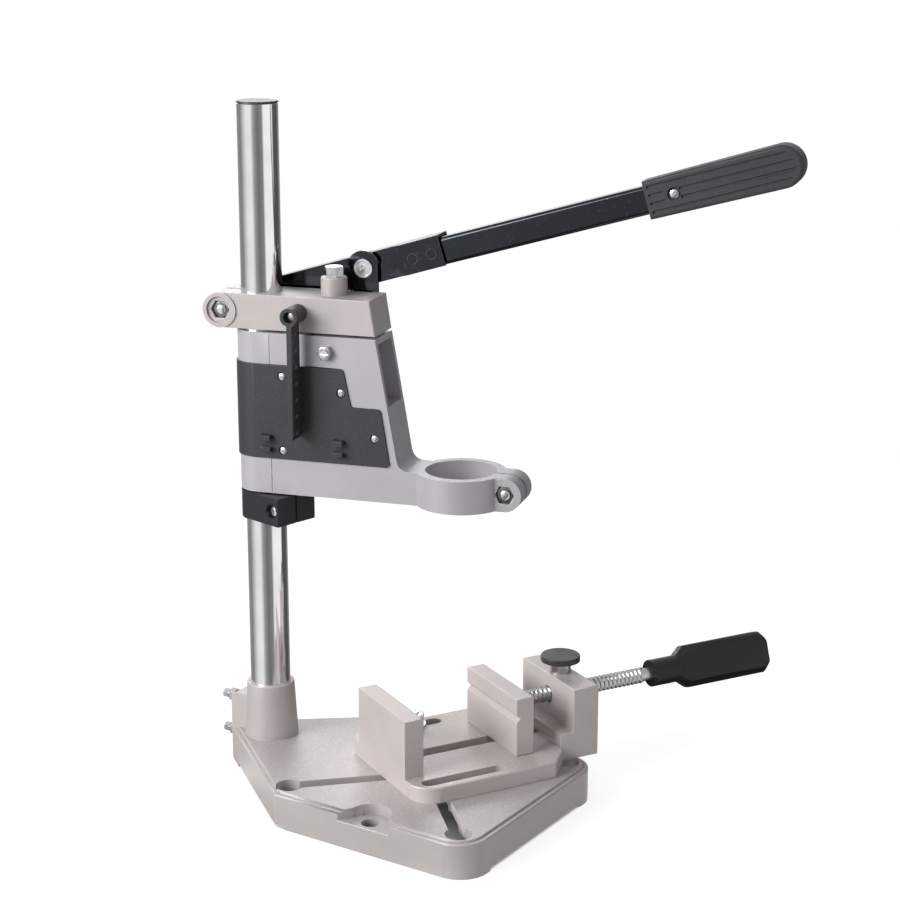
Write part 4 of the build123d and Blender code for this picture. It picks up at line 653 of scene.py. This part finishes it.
def hexagon_head(flats, height, bore=0.0):
    """A hexagon with a turned chamfer on its upper face, seated at height 0."""
    segments, chamfer_slope = 60, math.tan(math.radians(30))
    crown, land, sink = flats * 0.475, flats * 0.04, flats * 0.01
    bm = bmesh.new()
    ring = bmesh.ops.create_circle(bm, cap_ends=True, segments=segments, radius=flats / 2)["verts"]
    for vert in ring:
        vert.co = vert.co.normalized() * hex_radius(math.atan2(vert.co.y, vert.co.x), flats)
    wall = bmesh.ops.extrude_face_region(bm, geom=list(bm.faces))["geom"]
    for vert in [v for v in wall if isinstance(v, bmesh.types.BMVert)]:
        vert.co.z = height - (vert.co.xy.length - crown) * chamfer_slope
    top = [f for f in wall if isinstance(f, bmesh.types.BMFace)]
    upper = bmesh.ops.extrude_face_region(bm, geom=top)["geom"]
    bmesh.ops.delete(bm, geom=top, context="FACES_ONLY")
    for vert in [v for v in upper if isinstance(v, bmesh.types.BMVert)]:
        flat = vert.co.xy.normalized() * crown
        vert.co = Vector((flat.x, flat.y, height))
    bmesh.ops.recalc_face_normals(bm, faces=bm.faces)
    if bore:
        ends = [f for f in bm.faces if len(f.verts) == segments]
        bmesh.ops.inset_region(bm, faces=ends, thickness=flats / 2 - bore - land)
        bmesh.ops.inset_region(bm, faces=ends, thickness=sink, depth=-height * 0.1)
    return bm


def box_between(low, high):
    """A block between two corners."""
    bm = bmesh.new()
    low, high = Vector(low), Vector(high)
    bmesh.ops.create_cube(bm, size=1)
    bmesh.ops.scale(bm, vec=high - low, verts=bm.verts)
    bmesh.ops.translate(bm, vec=(low + high) / 2, verts=bm.verts)
    return bm


def cut_by(bm, cutters):
    """Cuts other bmeshes out of one, by way of boolean modifiers."""
    body = object_from(bm, "body_mesh")
    tools = [object_from(cutter, "tool_mesh") for cutter in cutters]
    for tool in tools:
        step = body.modifiers.new("cut", "BOOLEAN")
        step.operation = "DIFFERENCE"
        step.solver = "EXACT"
        step.object = tool
    result = shape_of(body)
    for extra in tools + [body]:
        mesh = extra.data
        bpy.data.objects.remove(extra)
        bpy.data.meshes.remove(mesh)
    return result


def cross_cut(head, height, radius, depth):
    """Cuts the two tapered blades of a cross recess into a head, from a height down."""
    blades = []
    for turn in (20, 110):
        blade = box_between((-radius, -radius * 0.2, -depth), (radius, radius * 0.2, depth))
        for vert in blade.verts:
            if vert.co.z < 0:
                vert.co.x *= 0.45
        blade.transform(Matrix.Translation((0, 0, height))
                        @ Matrix.Rotation(math.radians(turn), 4, "Z"))
        blades.append(blade)
    return cut_by(head, blades)


def cross_head(radius, height):
    """A low domed screw head with a cross recess, seated at height 0."""
    steps, rim = 6, 0.35
    profile = [(0, 0), (1, 0), (1, rim)]
    for index in range(1, steps):
        angle = math.pi / 2 * index / steps
        profile.append((math.cos(angle), rim + (1 - rim) * math.sin(angle)))
    head = spun(profile + [(0, 1)], 32, radius, height)
    return cross_cut(head, height, radius * 0.58, height * 0.75)


def rimmed_head(radius, height):
    """A flat screw head with a raised rim round a cross recess, seated at height 0."""
    profile = [(0, 0), (1, 0), (1, 0.75), (0.95, 1), (0.80, 1), (0.74, 0.62), (0.40, 0.62),
               (0, 0.74)]
    head = spun(profile, 40, radius, height)
    return cross_cut(head, height * 0.72, radius * 0.50, height * 0.55)


def fastener(bm, name, body, node):
    """A zinc plated piece that takes the place of a CAD node."""
    return piece_from(bm, name, "zinc", body, [node])


def add_cross_screw(bm, place, seat, head, shank):
    """A cross-head screw that looks near; its head and shank are given as (radius, length)."""
    added(bm, cross_head(*head), across(place, seat, near))
    added(bm, rod(*shank), across(place, seat, far))


def clamp_bolt(node):
    """A hexagon bolt across the head's frame, with its head far and its domed end near."""
    low, high = extent(node, head_frame)
    centre = (low + high) / 2
    head_height, dome_radius, dome_height = 4.2 * mm, 3.2 * mm, 1.3 * mm
    seat, dome_foot = high.y - head_height, low.y + dome_height
    dome = [(0, 0), (1, 0), (0.97, 0.35), (0.80, 0.75), (0.45, 1), (0, 1)]
    bolt = bmesh.new()
    added(bolt, hexagon_head(m6.flats, head_height), across(centre, seat, far))
    added(bolt, stud(m6, seat - dome_foot), across(centre, dome_foot, far))
    added(bolt, spun(dome, radius=dome_radius, height=dome_height), across(centre, dome_foot, near))
    return bolt


def clamp_nut(node):
    """A nut at the bottom of its pocket in the near side."""
    low, high = extent(node, head_frame)
    nut = hexagon_head(m6.flats, 3.6 * mm, bore=m6.radius)
    nut.transform(across((low + high) / 2, high.y, near))
    return nut


def screw_islands(node):
    """The middle and the near end of each loose screw of a node, in the head's frame."""
    bm = bmesh.new()
    bm.from_mesh(frame["nodes"][node].data)
    bmesh.ops.remove_doubles(bm, verts=bm.verts, dist=weld)
    bm.transform(head_frame.inverted())
    left = set(bm.verts)
    found = []
    while left:
        island = [left.pop()]
        for vert in island:
            for edge in vert.link_edges:
                other = edge.other_vert(vert)
                if other in left:
                    left.remove(other)
                    island.append(other)
        columns = list(zip(*(vert.co for vert in island)))
        centre = Vector([(min(column) + max(column)) / 2 for column in columns])
        found.append((centre, min(columns[1])))
    bm.free()
    return found


def number(text, size, thickness):
    """A number as a thin closed mesh, centred on the origin of its plane."""
    curve = bpy.data.curves.new("number", "FONT")
    curve.body = text
    curve.size = size
    curve.extrude = thickness
    curve.align_x = "CENTER"
    curve.align_y = "CENTER"
    item = bpy.data.objects.new("number", curve)
    bpy.context.scene.collection.objects.link(item)
    bm = shape_of(item)
    bpy.data.objects.remove(item)
    bpy.data.curves.remove(curve)
    bmesh.ops.remove_doubles(bm, verts=bm.verts, dist=fine_weld)
    return bm


# Operators

class STAND_OT_base(bpy.types.Operator):
    """Add the base casting with its column screws"""

    bl_idname = "stand.base"
    bl_label = "Base"

    def execute(self, context):
        sizes = context.scene.stand_sizes
        dressed("base", "base_casting", "base", "base", sizes.edge)
        head_flats, head_height, nut_height = 5.5 * mm, 4 * mm, 4 * mm
        low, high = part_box("column_set_bolts")
        nut_low, nut_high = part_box("column_set_nuts")
        seat, corner = low.x + head_height, m5.flats / math.sqrt(3)
        backward, forward = (-1, 0, 0), (1, 0, 0)
        bolts, nuts = bmesh.new(), bmesh.new()
        for z in (nut_low.z + corner, nut_high.z - corner):
            added(bolts, hexagon_head(head_flats, head_height), aimed((seat, 0, z), backward))
            added(bolts, stud(m5, high.x - seat), aimed((seat, 0, z), forward))
            added(nuts, hexagon_head(m5.flats, nut_height, bore=m5.radius),
                  aimed((nut_high.x, 0, z), backward))
        fastener(bolts, "set_bolts", "base", "column_set_bolts")
        fastener(nuts, "set_nuts", "base", "column_set_nuts")
        return {"FINISHED"}


class STAND_OT_column(bpy.types.Operator):
    """Add the chromed column tube and its black cap"""

    bl_idname = "stand.column"
    bl_label = "Column"

    def execute(self, context):
        segments, chamfer, rounding, edge_drop = 96, 0.5 * mm, 0.8 * mm, 0.1 * mm
        low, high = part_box("column_tube")
        radius = (high.x - low.x) / 2
        bore = radius - 2 * mm
        tube = [(bore, low.z), (radius - chamfer, low.z), (radius, low.z + chamfer),
                (radius, high.z - chamfer), (radius - chamfer, high.z), (bore, high.z),
                (bore, low.z)]
        piece_from(spun(tube, segments), "column_tube_chrome", "chrome", "column",
                   ["column_tube"])
        cap_low, cap_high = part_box("column_cap")
        crown = cap_high.z
        cap = [(0, cap_low.z), (bore, cap_low.z), (bore, high.z), (radius, high.z),
               (radius, crown - rounding), (radius - rounding * 0.3, crown - rounding * 0.3),
               (radius - rounding, crown - edge_drop), (radius * 0.6, crown), (0, crown)]
        piece_from(spun(cap, segments), "column_cap_dome", "plastic", "column",
                   ["column_cap"])
        return {"FINISHED"}


class STAND_OT_head(bpy.types.Operator):
    """Add the head block with its bolts and the guide rod"""

    bl_idname = "stand.head"
    bl_label = "Head"

    def execute(self, context):
        sizes = context.scene.stand_sizes
        dressed("head", "head_block", "head", "head", sizes.edge)
        dressed("guide_rod_turned", "guide_rod", "steel", "head", sizes.fine_edge)
        self.add_rod_bolt()
        fastener(clamp_bolt("head_clamp_bolt"), "clamp_bolt_hex", "head", "head_clamp_bolt")
        # The nut takes zinc darkened as painted shade of its pocket.
        piece_from(clamp_nut("head_clamp_nut"), "clamp_nut_hex", "dull_zinc", "head",
                   ["head_clamp_nut"])
        return {"FINISHED"}

    def add_rod_bolt(self):
        """The bolt on the boss, down into the guide rod."""
        low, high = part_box("guide_rod_bolt")
        place = middle("guide_rod_bolt")
        head_height = 6.2 * mm
        seat = high.z - head_height
        bolt = bmesh.new()
        added(bolt, hexagon_head(m6.flats, head_height),
              Matrix.Translation((place.x, place.y, seat)) @ head_frame)
        added(bolt, rod(m6.radius, seat - low.z, 0.3 * mm), aimed((place.x, place.y, low.z), up))
        piece_from(bolt, "guide_rod_bolt_hex", "steel", "head", ["guide_rod_bolt"])


class STAND_OT_carriage(bpy.types.Operator):
    """Add the carriage casting, its bushes and its clamp bolt"""

    bl_idname = "stand.carriage"
    bl_label = "Carriage"

    def execute(self, context):
        sizes = context.scene.stand_sizes
        dressed("carriage", "carriage_casting", "cast", "carriage", sizes.edge)
        dressed("bushes", "column_bushes", "bronze", "carriage")
        fastener(clamp_bolt("collar_clamp_bolt"), "collar_bolt_hex", "carriage",
                 "collar_clamp_bolt")
        # The nut takes zinc darkened as painted shade of its pocket.
        piece_from(clamp_nut("collar_clamp_nut"), "collar_nut_hex", "dull_zinc", "carriage",
                   ["collar_clamp_nut"])
        self.add_gib_screw()
        return {"FINISHED"}

    def add_gib_screw(self):
        """The slotted screw that takes up the play on the column, with its lock nut."""
        place = in_head("gib_nut")
        nut_height = 3.5 * mm
        nut = hexagon_head(m5.flats, nut_height, bore=m5.radius)
        nut.transform(across(place, place.y + nut_height / 2, near))
        piece_from(nut, "gib_nut_hex", "steel", "carriage", ["gib_nut"])
        tip, overlap, inner_end = 1.2 * mm, 0.1 * mm, -6 * mm
        slot_reach, slot_half, slot_depth = 3 * mm, 0.45 * mm, 0.8 * mm
        outer_end = extent("gib_screw", head_frame)[0].y
        slot = box_between((-slot_reach, -slot_half, -1 * mm), (slot_reach, slot_half, slot_depth))
        screw = cut_by(rod(m5.radius, tip), [slot])
        added(screw, stud(m5, inner_end - outer_end), Matrix.Translation((0, 0, tip - overlap)))
        screw.transform(across(place, outer_end, far))
        fastener(screw, "gib_screw_slotted", "carriage", "gib_screw")


class STAND_OT_cover(bpy.types.Operator):
    """Add the black side cover with its cross-head screws"""

    bl_idname = "stand.cover"
    bl_label = "Side cover"

    def execute(self, context):
        sizes = context.scene.stand_sizes
        dressed("cover", "side_cover", "plastic", "carriage", sizes.edge)
        screws = bmesh.new()
        for place, near_end in screw_islands("cover_screws"):
            add_cross_screw(screws, place, near_end + 1 * mm, head=(2.4 * mm, 1.4 * mm),
                            shank=(1.5 * mm, 9 * mm))
        fastener(screws, "cover_screw_heads", "carriage", "cover_screws")
        return {"FINISHED"}


class STAND_OT_scale(bpy.types.Operator):
    """Add the depth scale with its marks and screw"""

    bl_idname = "stand.scale"
    bl_label = "Depth scale"

    def execute(self, context):
        sizes = context.scene.stand_sizes
        dressed("scale", "depth_scale", "plastic", "head", sizes.fine_edge)
        place, near_end = screw_islands("depth_scale_screw")[0]
        screw = bmesh.new()
        add_cross_screw(screw, place, near_end + 2 * mm, head=(3.2 * mm, 1.8 * mm),
                        shank=(2.35 * mm, 13 * mm))
        fastener(screw, "scale_screw_head", "head", "depth_scale_screw")
        self.add_marks(sizes)
        return {"FINISHED"}

    def add_marks(self, sizes):
        """Printed marks and numbers on the face that looks along the arm."""
        face, zero, outer = 30.8 * mm, 285 * mm, -30.6 * mm
        proud, half_line = 0.06 * mm, 0.10 * mm
        number_offset, number_size = 6.4 * mm, 2.8 * mm
        marks = bmesh.new()
        for index in range(sizes.scale_marks + 1):
            length = 3.6 * mm if index % 10 == 0 else 2.6 * mm if index % 5 == 0 else 1.6 * mm
            z = zero - index * sizes.scale_step
            mark = box_between((face - proud, outer, z - half_line),
                               (face + proud, outer + length, z + half_line))
            added(marks, mark, head_frame)
        for index in range(0, sizes.scale_marks + 1, 10):
            z = zero - index * sizes.scale_step
            # Text that reads upright when the face is looked at along the arm
            reading = Matrix(((0, 0, 1, face), (1, 0, 0, outer + number_offset), (0, 1, 0, z),
                              (0, 0, 0, 1)))
            added(marks, number(str(index), number_size, proud), head_frame @ reading)
        piece_from(marks, "scale_marks", "ink", "head", smooth=False)


class STAND_OT_lever(bpy.types.Operator):
    """Add the hand lever, its bracket and their pins"""

    bl_idname = "stand.lever"
    bl_label = "Lever"

    def execute(self, context):
        sizes = context.scene.stand_sizes
        fine = sizes.fine_edge
        dressed("channel", "lever_channel", "dark_chrome", "lever", fine)
        dressed("bar", "lever_bar", "dark_chrome", "lever", fine)
        dressed("rivets", "lever_rivets", "dark_rivet", "lever", fine)
        dressed("grip", "lever_grip", "grip", "lever", sizes.edge)
        dressed("bracket", "lever_bracket", "dark_chrome", "carriage", fine)
        dressed("fulcrum_bush", "lever_bush", "bronze", "head")
        dressed("fulcrum_washer", "head_clamp_washer", "zinc", "head", fine)
        dressed("pin_bush", "lever_pin_bush", "zinc", "carriage")
        self.add_grip_screw()
        self.add_pin_bolt()
        self.add_bracket_screws()
        return {"FINISHED"}

    def add_grip_screw(self):
        """The screw through the grip, with a cross head on both sides."""
        low, high = extent("grip_screw", head_frame)
        centre = in_head("grip_screw")
        head_radius, head_height, let_in = 2.9 * mm, 1.3 * mm, 0.3 * mm
        half = (high.y - low.y) / 2 - head_height + let_in
        screw = bmesh.new()
        for side in (near, far):
            added(screw, cross_head(head_radius, head_height),
                  across(centre, centre.y + side.y * half, side))
        added(screw, rod(m5.radius, 2 * half), across(centre, centre.y + half, near))
        fastener(screw, "grip_screw_heads", "lever", "grip_screw")

    def add_pin_bolt(self):
        """The bolt that the lever's slot rides on, with its nut on the far side."""
        low, high = extent("lever_pin_bolt", head_frame)
        centre = (low + high) / 2
        head_height, nut_height = 1.5 * mm, 5 * mm
        seat = low.y + head_height
        bolt = bmesh.new()
        added(bolt, rimmed_head((high.x - low.x) / 2, head_height), across(centre, seat, near))
        added(bolt, rod(m6.radius, high.y - seat, 0.4 * mm), across(centre, seat, far))
        fastener(bolt, "pin_bolt_head", "carriage", "lever_pin_bolt")
        place = in_head("lever_pin_nut")
        nut = hexagon_head(m6.flats, nut_height, bore=m6.radius)
        nut.transform(across(place, place.y - nut_height / 2, far))
        fastener(nut, "pin_nut_hex", "carriage", "lever_pin_nut")

    def add_bracket_screws(self):
        """The screws that hold the bracket to the carriage, seen from the far side."""
        head_height = 1.75 * mm
        seat = extent("bracket_screws", head_frame)[1].y - head_height
        screws = bmesh.new()
        for place, near_end in screw_islands("bracket_screws"):
            added(screws, hexagon_head(m5.flats, head_height), across(place, seat, far))
            added(screws, rod(m5.radius, seat - near_end), across(place, near_end, far))
        fastener(screws, "bracket_screw_heads", "carriage", "bracket_screws")


class STAND_OT_stop_ring(bpy.types.Operator):
    """Add the black stop ring with its clamp screw"""

    bl_idname = "stand.stop_ring"
    bl_label = "Stop ring"

    def execute(self, context):
        sizes = context.scene.stand_sizes
        dressed("ring", "stop_ring", "ring", "stop_ring", sizes.edge)
        ring_frame = Matrix.Rotation(math.radians(-11), 4, "Z")
        place = ring_frame.inverted() @ middle("stop_ring_screw")
        seat, foot, head_height = 11.6 * mm, -12 * mm, 2.5 * mm
        screw = bmesh.new()
        added(screw, cross_head(4 * mm, head_height), across(place, seat, far, ring_frame))
        added(screw, stud(m5, seat - foot), across(place, foot, far, ring_frame))
        fastener(screw, "ring_screw_head", "stop_ring", "stop_ring_screw")
        nut = cross_head(3.7 * mm, head_height)
        nut.transform(across(place, -seat, near, ring_frame))
        fastener(nut, "ring_sleeve_nut", "stop_ring", "stop_ring_nut")
        return {"FINISHED"}


class STAND_OT_vise(bpy.types.Operator):
    """Add the machine vise with its jaws and screws"""

    bl_idname = "stand.vise"
    bl_label = "Vise"

    def execute(self, context):
        sizes = context.scene.stand_sizes
        fine = sizes.fine_edge
        dressed("vise_bed", "vise_body", "vise", "vise", sizes.edge)
        dressed("jaw_block", "moving_jaw", "vise", "jaw", sizes.edge)
        dressed("keeper_plate", "jaw_keeper", "steel", "jaw")
        dressed("keeper_bolt", "keeper_screw", "zinc", "jaw")
        dressed("retainer", "screw_retainer", "zinc", "jaw", fine)
        dressed("retainer_bolts", "retainer_screws", "zinc", "jaw", fine)
        dressed("half_nut", "release_plunger", "steel", "release", fine)
        dressed("knob", "release_knob", "plastic", "release", fine)
        self.add_holding_bolt(sizes)
        return {"FINISHED"}

    def add_holding_bolt(self, sizes):
        """The bolt up through the base's slot, with its washer and nut on the bed."""
        low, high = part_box("vise_bolt")
        place = middle("vise_bolt")
        head_height = 5.3 * mm
        seat = low.z + head_height
        bolt = bmesh.new()
        added(bolt, hexagon_head(m8.flats, head_height), aimed((place.x, place.y, seat), down))
        added(bolt, stud(m8, high.z - seat), aimed((place.x, place.y, seat), up))
        fastener(bolt, "vise_bolt_hex", "base", "vise_bolt")
        dressed("vise_washer_disc", "vise_washer", "zinc", "base", sizes.washer_edge)
        nut_low, nut_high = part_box("vise_nut")
        nut = hexagon_head(m8.flats, nut_high.z - nut_low.z, bore=m8.radius)
        nut.transform(aimed((place.x, place.y, nut_low.z), up))
        fastener(nut, "vise_nut_hex", "base", "vise_nut")


class STAND_OT_lead_screw(bpy.types.Operator):
    """Add the vise's lead screw with its thread"""

    bl_idname = "stand.lead_screw"
    bl_label = "Lead screw"

    def execute(self, context):
        sizes = context.scene.stand_sizes
        low, high = extent("lead_screw", vise_frame)
        start, end = low.x, high.x
        radius, tip, neck = 5 * mm, 4 * mm, 3.2 * mm
        core, thread_depth = radius * 0.86, 0.9 * mm
        neck_start, neck_end, thread_end = 59.4 * mm, 61.7 * mm, 157 * mm
        screw = spun([(0, start), (tip, start), (tip, neck_start), (neck, neck_start),
                      (neck, neck_end), (core, neck_end), (core, thread_end), (tip, thread_end),
                      (tip, end), (0, end)])
        ridge = thread(radius, sizes.lead_pitch, thread_end - neck_end, thread_depth, 0.12)
        added(screw, ridge, Matrix.Translation((0, 0, neck_end)))
        screw.transform(aimed((0, 0, middle("lead_screw").z), (1, 0, 0), vise_frame))
        piece_from(screw, "lead_screw_thread", "steel", "screw", ["lead_screw"])
        dressed("handle_cross_pin", "handle_pin", "zinc", "screw")
        dressed("handle", "vise_handle", "handle", "screw", sizes.handle_edge)
        return {"FINISHED"}


class STAND_OT_springs(bpy.types.Operator):
    """Add the coiled springs behind the cover and in the vise"""

    bl_idname = "stand.springs"
    bl_label = "Springs"

    def execute(self, context):
        wire = context.scene.stand_sizes.spring_wire
        dressed("pin_upper", "spring_pin_upper", "zinc", "head")
        dressed("pin_lower", "spring_pin_lower", "zinc", "carriage")
        self.add_return_spring(wire)
        self.add_release_spring(wire)
        return {"FINISHED"}

    def add_return_spring(self, wire):
        """A close-wound spring whose eyes hang on the two pins."""
        low, high = extent("return_spring", head_frame)
        upper, lower = in_head("spring_pin_upper"), in_head("spring_pin_lower")
        radius, x = (high.x - low.x) / 2, (low.x + high.x) / 2
        hook, pin_radius, chamfer = 5 * mm, 1.5 * mm, 0.1 * mm
        foot, top, eye = lower.z + hook, upper.z - hook, pin_radius + wire
        spring = coil(radius, wire, top - foot, (top - foot) / (2.05 * wire))
        spring.transform(head_frame @ Matrix.Translation((x, 0, foot)))
        for pin_z, end, towards in ((upper.z, top - wire, up), (lower.z, foot + wire, down)):
            added(spring, wire_eye(eye, wire * 0.95),
                  head_frame @ Matrix.Translation((x, 0, pin_z)))
            added(spring, rod(wire, abs(pin_z - end) - eye, chamfer),
                  aimed((x, 0, end), towards, head_frame))
            added(spring, rod(wire, 2 * radius - 2 * wire, chamfer),
                  aimed((x - radius + wire, 0, end), (1, 0, 0), head_frame))
        piece = piece_from(spring, "return_spring_coil", "steel", None, ["return_spring"])
        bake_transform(piece)

    def add_release_spring(self, wire):
        """An open spring under the half nut's plunger."""
        low, high = extent("release_spring", vise_frame)
        centre = (low + high) / 2
        in_vise = Vector((centre.x, centre.y, low.z))
        spring = coil((high.x - low.x) / 2, wire, high.z - low.z, 4)
        spring.transform(vise_frame @ Matrix.Translation(in_vise))
        piece = piece_from(spring, "release_spring_coil", "steel", "vise",
                           ["release_spring"])
        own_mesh(piece)


class STAND_OT_stage(bpy.types.Operator):
    """Add the floor, the lamps, the world and the camera"""

    bl_idname = "stand.stage"
    bl_label = "Stage"

    def execute(self, context):
        stage = context.scene.stand_stage
        self.add_floor(stage)
        self.add_world(stage)
        self.add_lamp("key_lamp", towards=(-0.38, -0.84, 0.42), distance=1.7, size=(1.1, 0.8),
                      power=stage.key_power)
        self.add_lamp("back_lamp", towards=(-0.65, 0.58, 0.49), distance=0.9, size=(0.55, 0.35),
                      power=stage.back_power)
        self.add_camera(stage)
        context.scene.view_settings.view_transform = "Standard"
        return {"FINISHED"}

    def add_floor(self, stage):
        bm = bmesh.new()
        bmesh.ops.create_circle(bm, cap_ends=True, segments=96, radius=stage.floor_radius)
        floor = object_from(bm, "floor")
        floor.data.materials.append(self.floor_finish(stage))

    def floor_finish(self, stage):
        """White to the camera, darker to the light that it sends back to the stand. Its glow to the
        camera fades by ambient occlusion, a painted shadow under and round the stand, and to the
        gloss it shows the studio's bands of light.
        """
        look = Finish("studio_floor")
        look.nodes.remove(look.nodes["Principled BSDF"])
        rays = look.nodes.new("ShaderNodeLightPath").outputs
        glossy = rays["Is Glossy Ray"]
        paint = look.node("ShaderNodeBsdfDiffuse", Color=look.mixed(glossy, grey(0.36), grey(0)))
        bands = look.mixed(glossy, grey(0), studio_bands(look, look.place["Object"]))
        # Painted shadow: the floor's glow fades where the stand hides its sky.
        sky = look.node("ShaderNodeAmbientOcclusion", Distance=0.12)
        sky.samples = 8
        glow_with_painted_shadow = look.ranged(sky.outputs["AO"], 0, stage.floor_glow, start=0.05, end=0.45)
        glow = look.node("ShaderNodeEmission",
                         Color=look.mixed(rays["Is Camera Ray"], bands, glow_with_painted_shadow))
        both = look.nodes.new("ShaderNodeAddShader")
        look.fill(both.inputs[0], paint.outputs["BSDF"])
        look.fill(both.inputs[1], glow.outputs["Emission"])
        look.fill(look.nodes["Material Output"].inputs["Surface"], both.outputs["Shader"])
        return look.material

    def add_world(self, stage):
        """A room that is brighter at its horizon, with bands of light for the gloss."""
        world = bpy.data.worlds.new("studio")
        world.use_nodes = True
        bpy.context.scene.world = world
        look = Recipe(world.node_tree)
        rays = look.nodes.new("ShaderNodeLightPath").outputs
        place = look.place["Generated"]
        split = look.node("ShaderNodeSeparateXYZ", Vector=place)
        horizon, overhead = stage.ambient * 1.32, stage.ambient * 0.38
        room = look.ranged(split.outputs["Z"], horizon, overhead, start=0.15, end=0.75)
        lit = look.mixed(rays["Is Glossy Ray"], room, studio_bands(look, place))
        seen = look.maths("MAXIMUM", rays["Is Camera Ray"], rays["Is Transmission Ray"])
        look.fill(look.nodes["Background"].inputs["Color"], look.mixed(seen, lit, grey(1)))

    def add_lamp(self, name, towards, distance, size, power):
        """A soft box that looks at the stand from a direction."""
        centre = Vector((0.1, 0, 0.15))
        direction = Vector(towards).normalized()
        lamp = bpy.data.lights.new(name, "AREA")
        lamp.shape = "RECTANGLE"
        lamp.size, lamp.size_y = size
        lamp.energy = power
        item = bpy.data.objects.new(name, lamp)
        item.location = centre + direction * distance
        item.rotation_mode = "QUATERNION"
        item.rotation_quaternion = direction.to_track_quat("Z", "Y")
        item.visible_camera = False
        bpy.context.scene.collection.objects.link(item)

    def add_camera(self, stage):
        data = bpy.data.cameras.new("camera")
        data.lens = stage.lens
        data.sensor_width = 36
        data.clip_start = 0.05
        camera = bpy.data.objects.new("camera", data)
        camera.location = stage.camera_place
        camera.rotation_mode = "QUATERNION"
        camera.rotation_quaternion = Vector(stage.camera_aim).to_track_quat("-Z", "Y")
        bpy.context.scene.collection.objects.link(camera)
        bpy.context.scene.camera = camera


# Brightness of the studio round the stand, as (share of the turn from its front, brightness)
band_shares = [
    (0.00, 1.00), (0.06, 1.00), (0.09, 0.30), (0.20, 0.24), (0.245, 0.50), (0.31, 0.85),
    (0.385, 0.90), (0.43, 0.34), (0.49, 0.17), (0.56, 0.26), (0.585, 0.95), (0.72, 0.98),
    (0.745, 0.10), (0.83, 0.08), (0.87, 0.22), (0.91, 0.30), (0.94, 1.00), (1.00, 1.00),
]
front_turn = math.radians(-51.4)


def studio_bands(look, place):
    """Soft lamps at both sides of a dim front, with the white backdrop behind."""
    turned = look.nodes.new("ShaderNodeVectorRotate")
    turned.rotation_type = "Z_AXIS"
    look.fill(turned.inputs["Vector"], place)
    look.fill(turned.inputs["Angle"], -front_turn)
    split = look.node("ShaderNodeSeparateXYZ", Vector=turned.outputs["Vector"]).outputs
    angle = look.maths("ARCTAN2", split["Y"], split["X"])
    share = look.ranged(angle, 0, 1, start=-math.pi, end=math.pi)
    ramp = look.node("ShaderNodeValToRGB", Fac=share)
    stops = ramp.color_ramp.elements
    for position, value in band_shares[1:-1]:
        stops.new(position)
    for stop, (position, value) in zip(stops, band_shares):
        stop.color = grey(value)
    ceiling = look.ranged(split["Z"], 0, 1, start=0.15, end=0.65)
    return look.mixed(ceiling, ramp.outputs["Color"], (0.72, 0.72, 0.73, 1))


class STAND_PT_panel(bpy.types.Panel):
    """The stand's pieces, one button for each"""

    bl_label = "Drill Stand"
    bl_idname = "STAND_PT_panel"
    bl_space_type = "VIEW_3D"
    bl_region_type = "UI"
    bl_category = "Drill Stand"

    def draw(self, context):
        scene = context.scene
        for group in (scene.stand_sizes, scene.stand_colours, scene.stand_stage):
            box = self.layout.box()
            for name in group.__annotations__:
                box.prop(group, name)
        for operator in operators:
            self.layout.operator(operator.bl_idname)


operators = [
    STAND_OT_base, STAND_OT_column, STAND_OT_head, STAND_OT_carriage, STAND_OT_cover,
    STAND_OT_scale, STAND_OT_lever, STAND_OT_stop_ring, STAND_OT_vise, STAND_OT_lead_screw,
    STAND_OT_springs, STAND_OT_stage,
]
groups = {"stand_sizes": StandSizes, "stand_colours": StandColours, "stand_stage": StandStage}


def register():
    for group in groups.values():
        bpy.utils.register_class(group)
    for operator in operators:
        bpy.utils.register_class(operator)
    bpy.utils.register_class(STAND_PT_panel)
    for name, group in groups.items():
        setattr(bpy.types.Scene, name, PointerProperty(type=group))


def unregister():
    for name in groups:
        delattr(bpy.types.Scene, name)
    bpy.utils.unregister_class(STAND_PT_panel)
    for operator in reversed(operators):
        bpy.utils.unregister_class(operator)
    for group in groups.values():
        bpy.utils.unregister_class(group)


def main():
    register()
    make_finishes()
    for operator in operators:
        family, name = operator.bl_idname.split(".")
        getattr(getattr(bpy.ops, family), name)()
    bpy.context.view_layer.update()


if __name__ == "__main__":
    main()
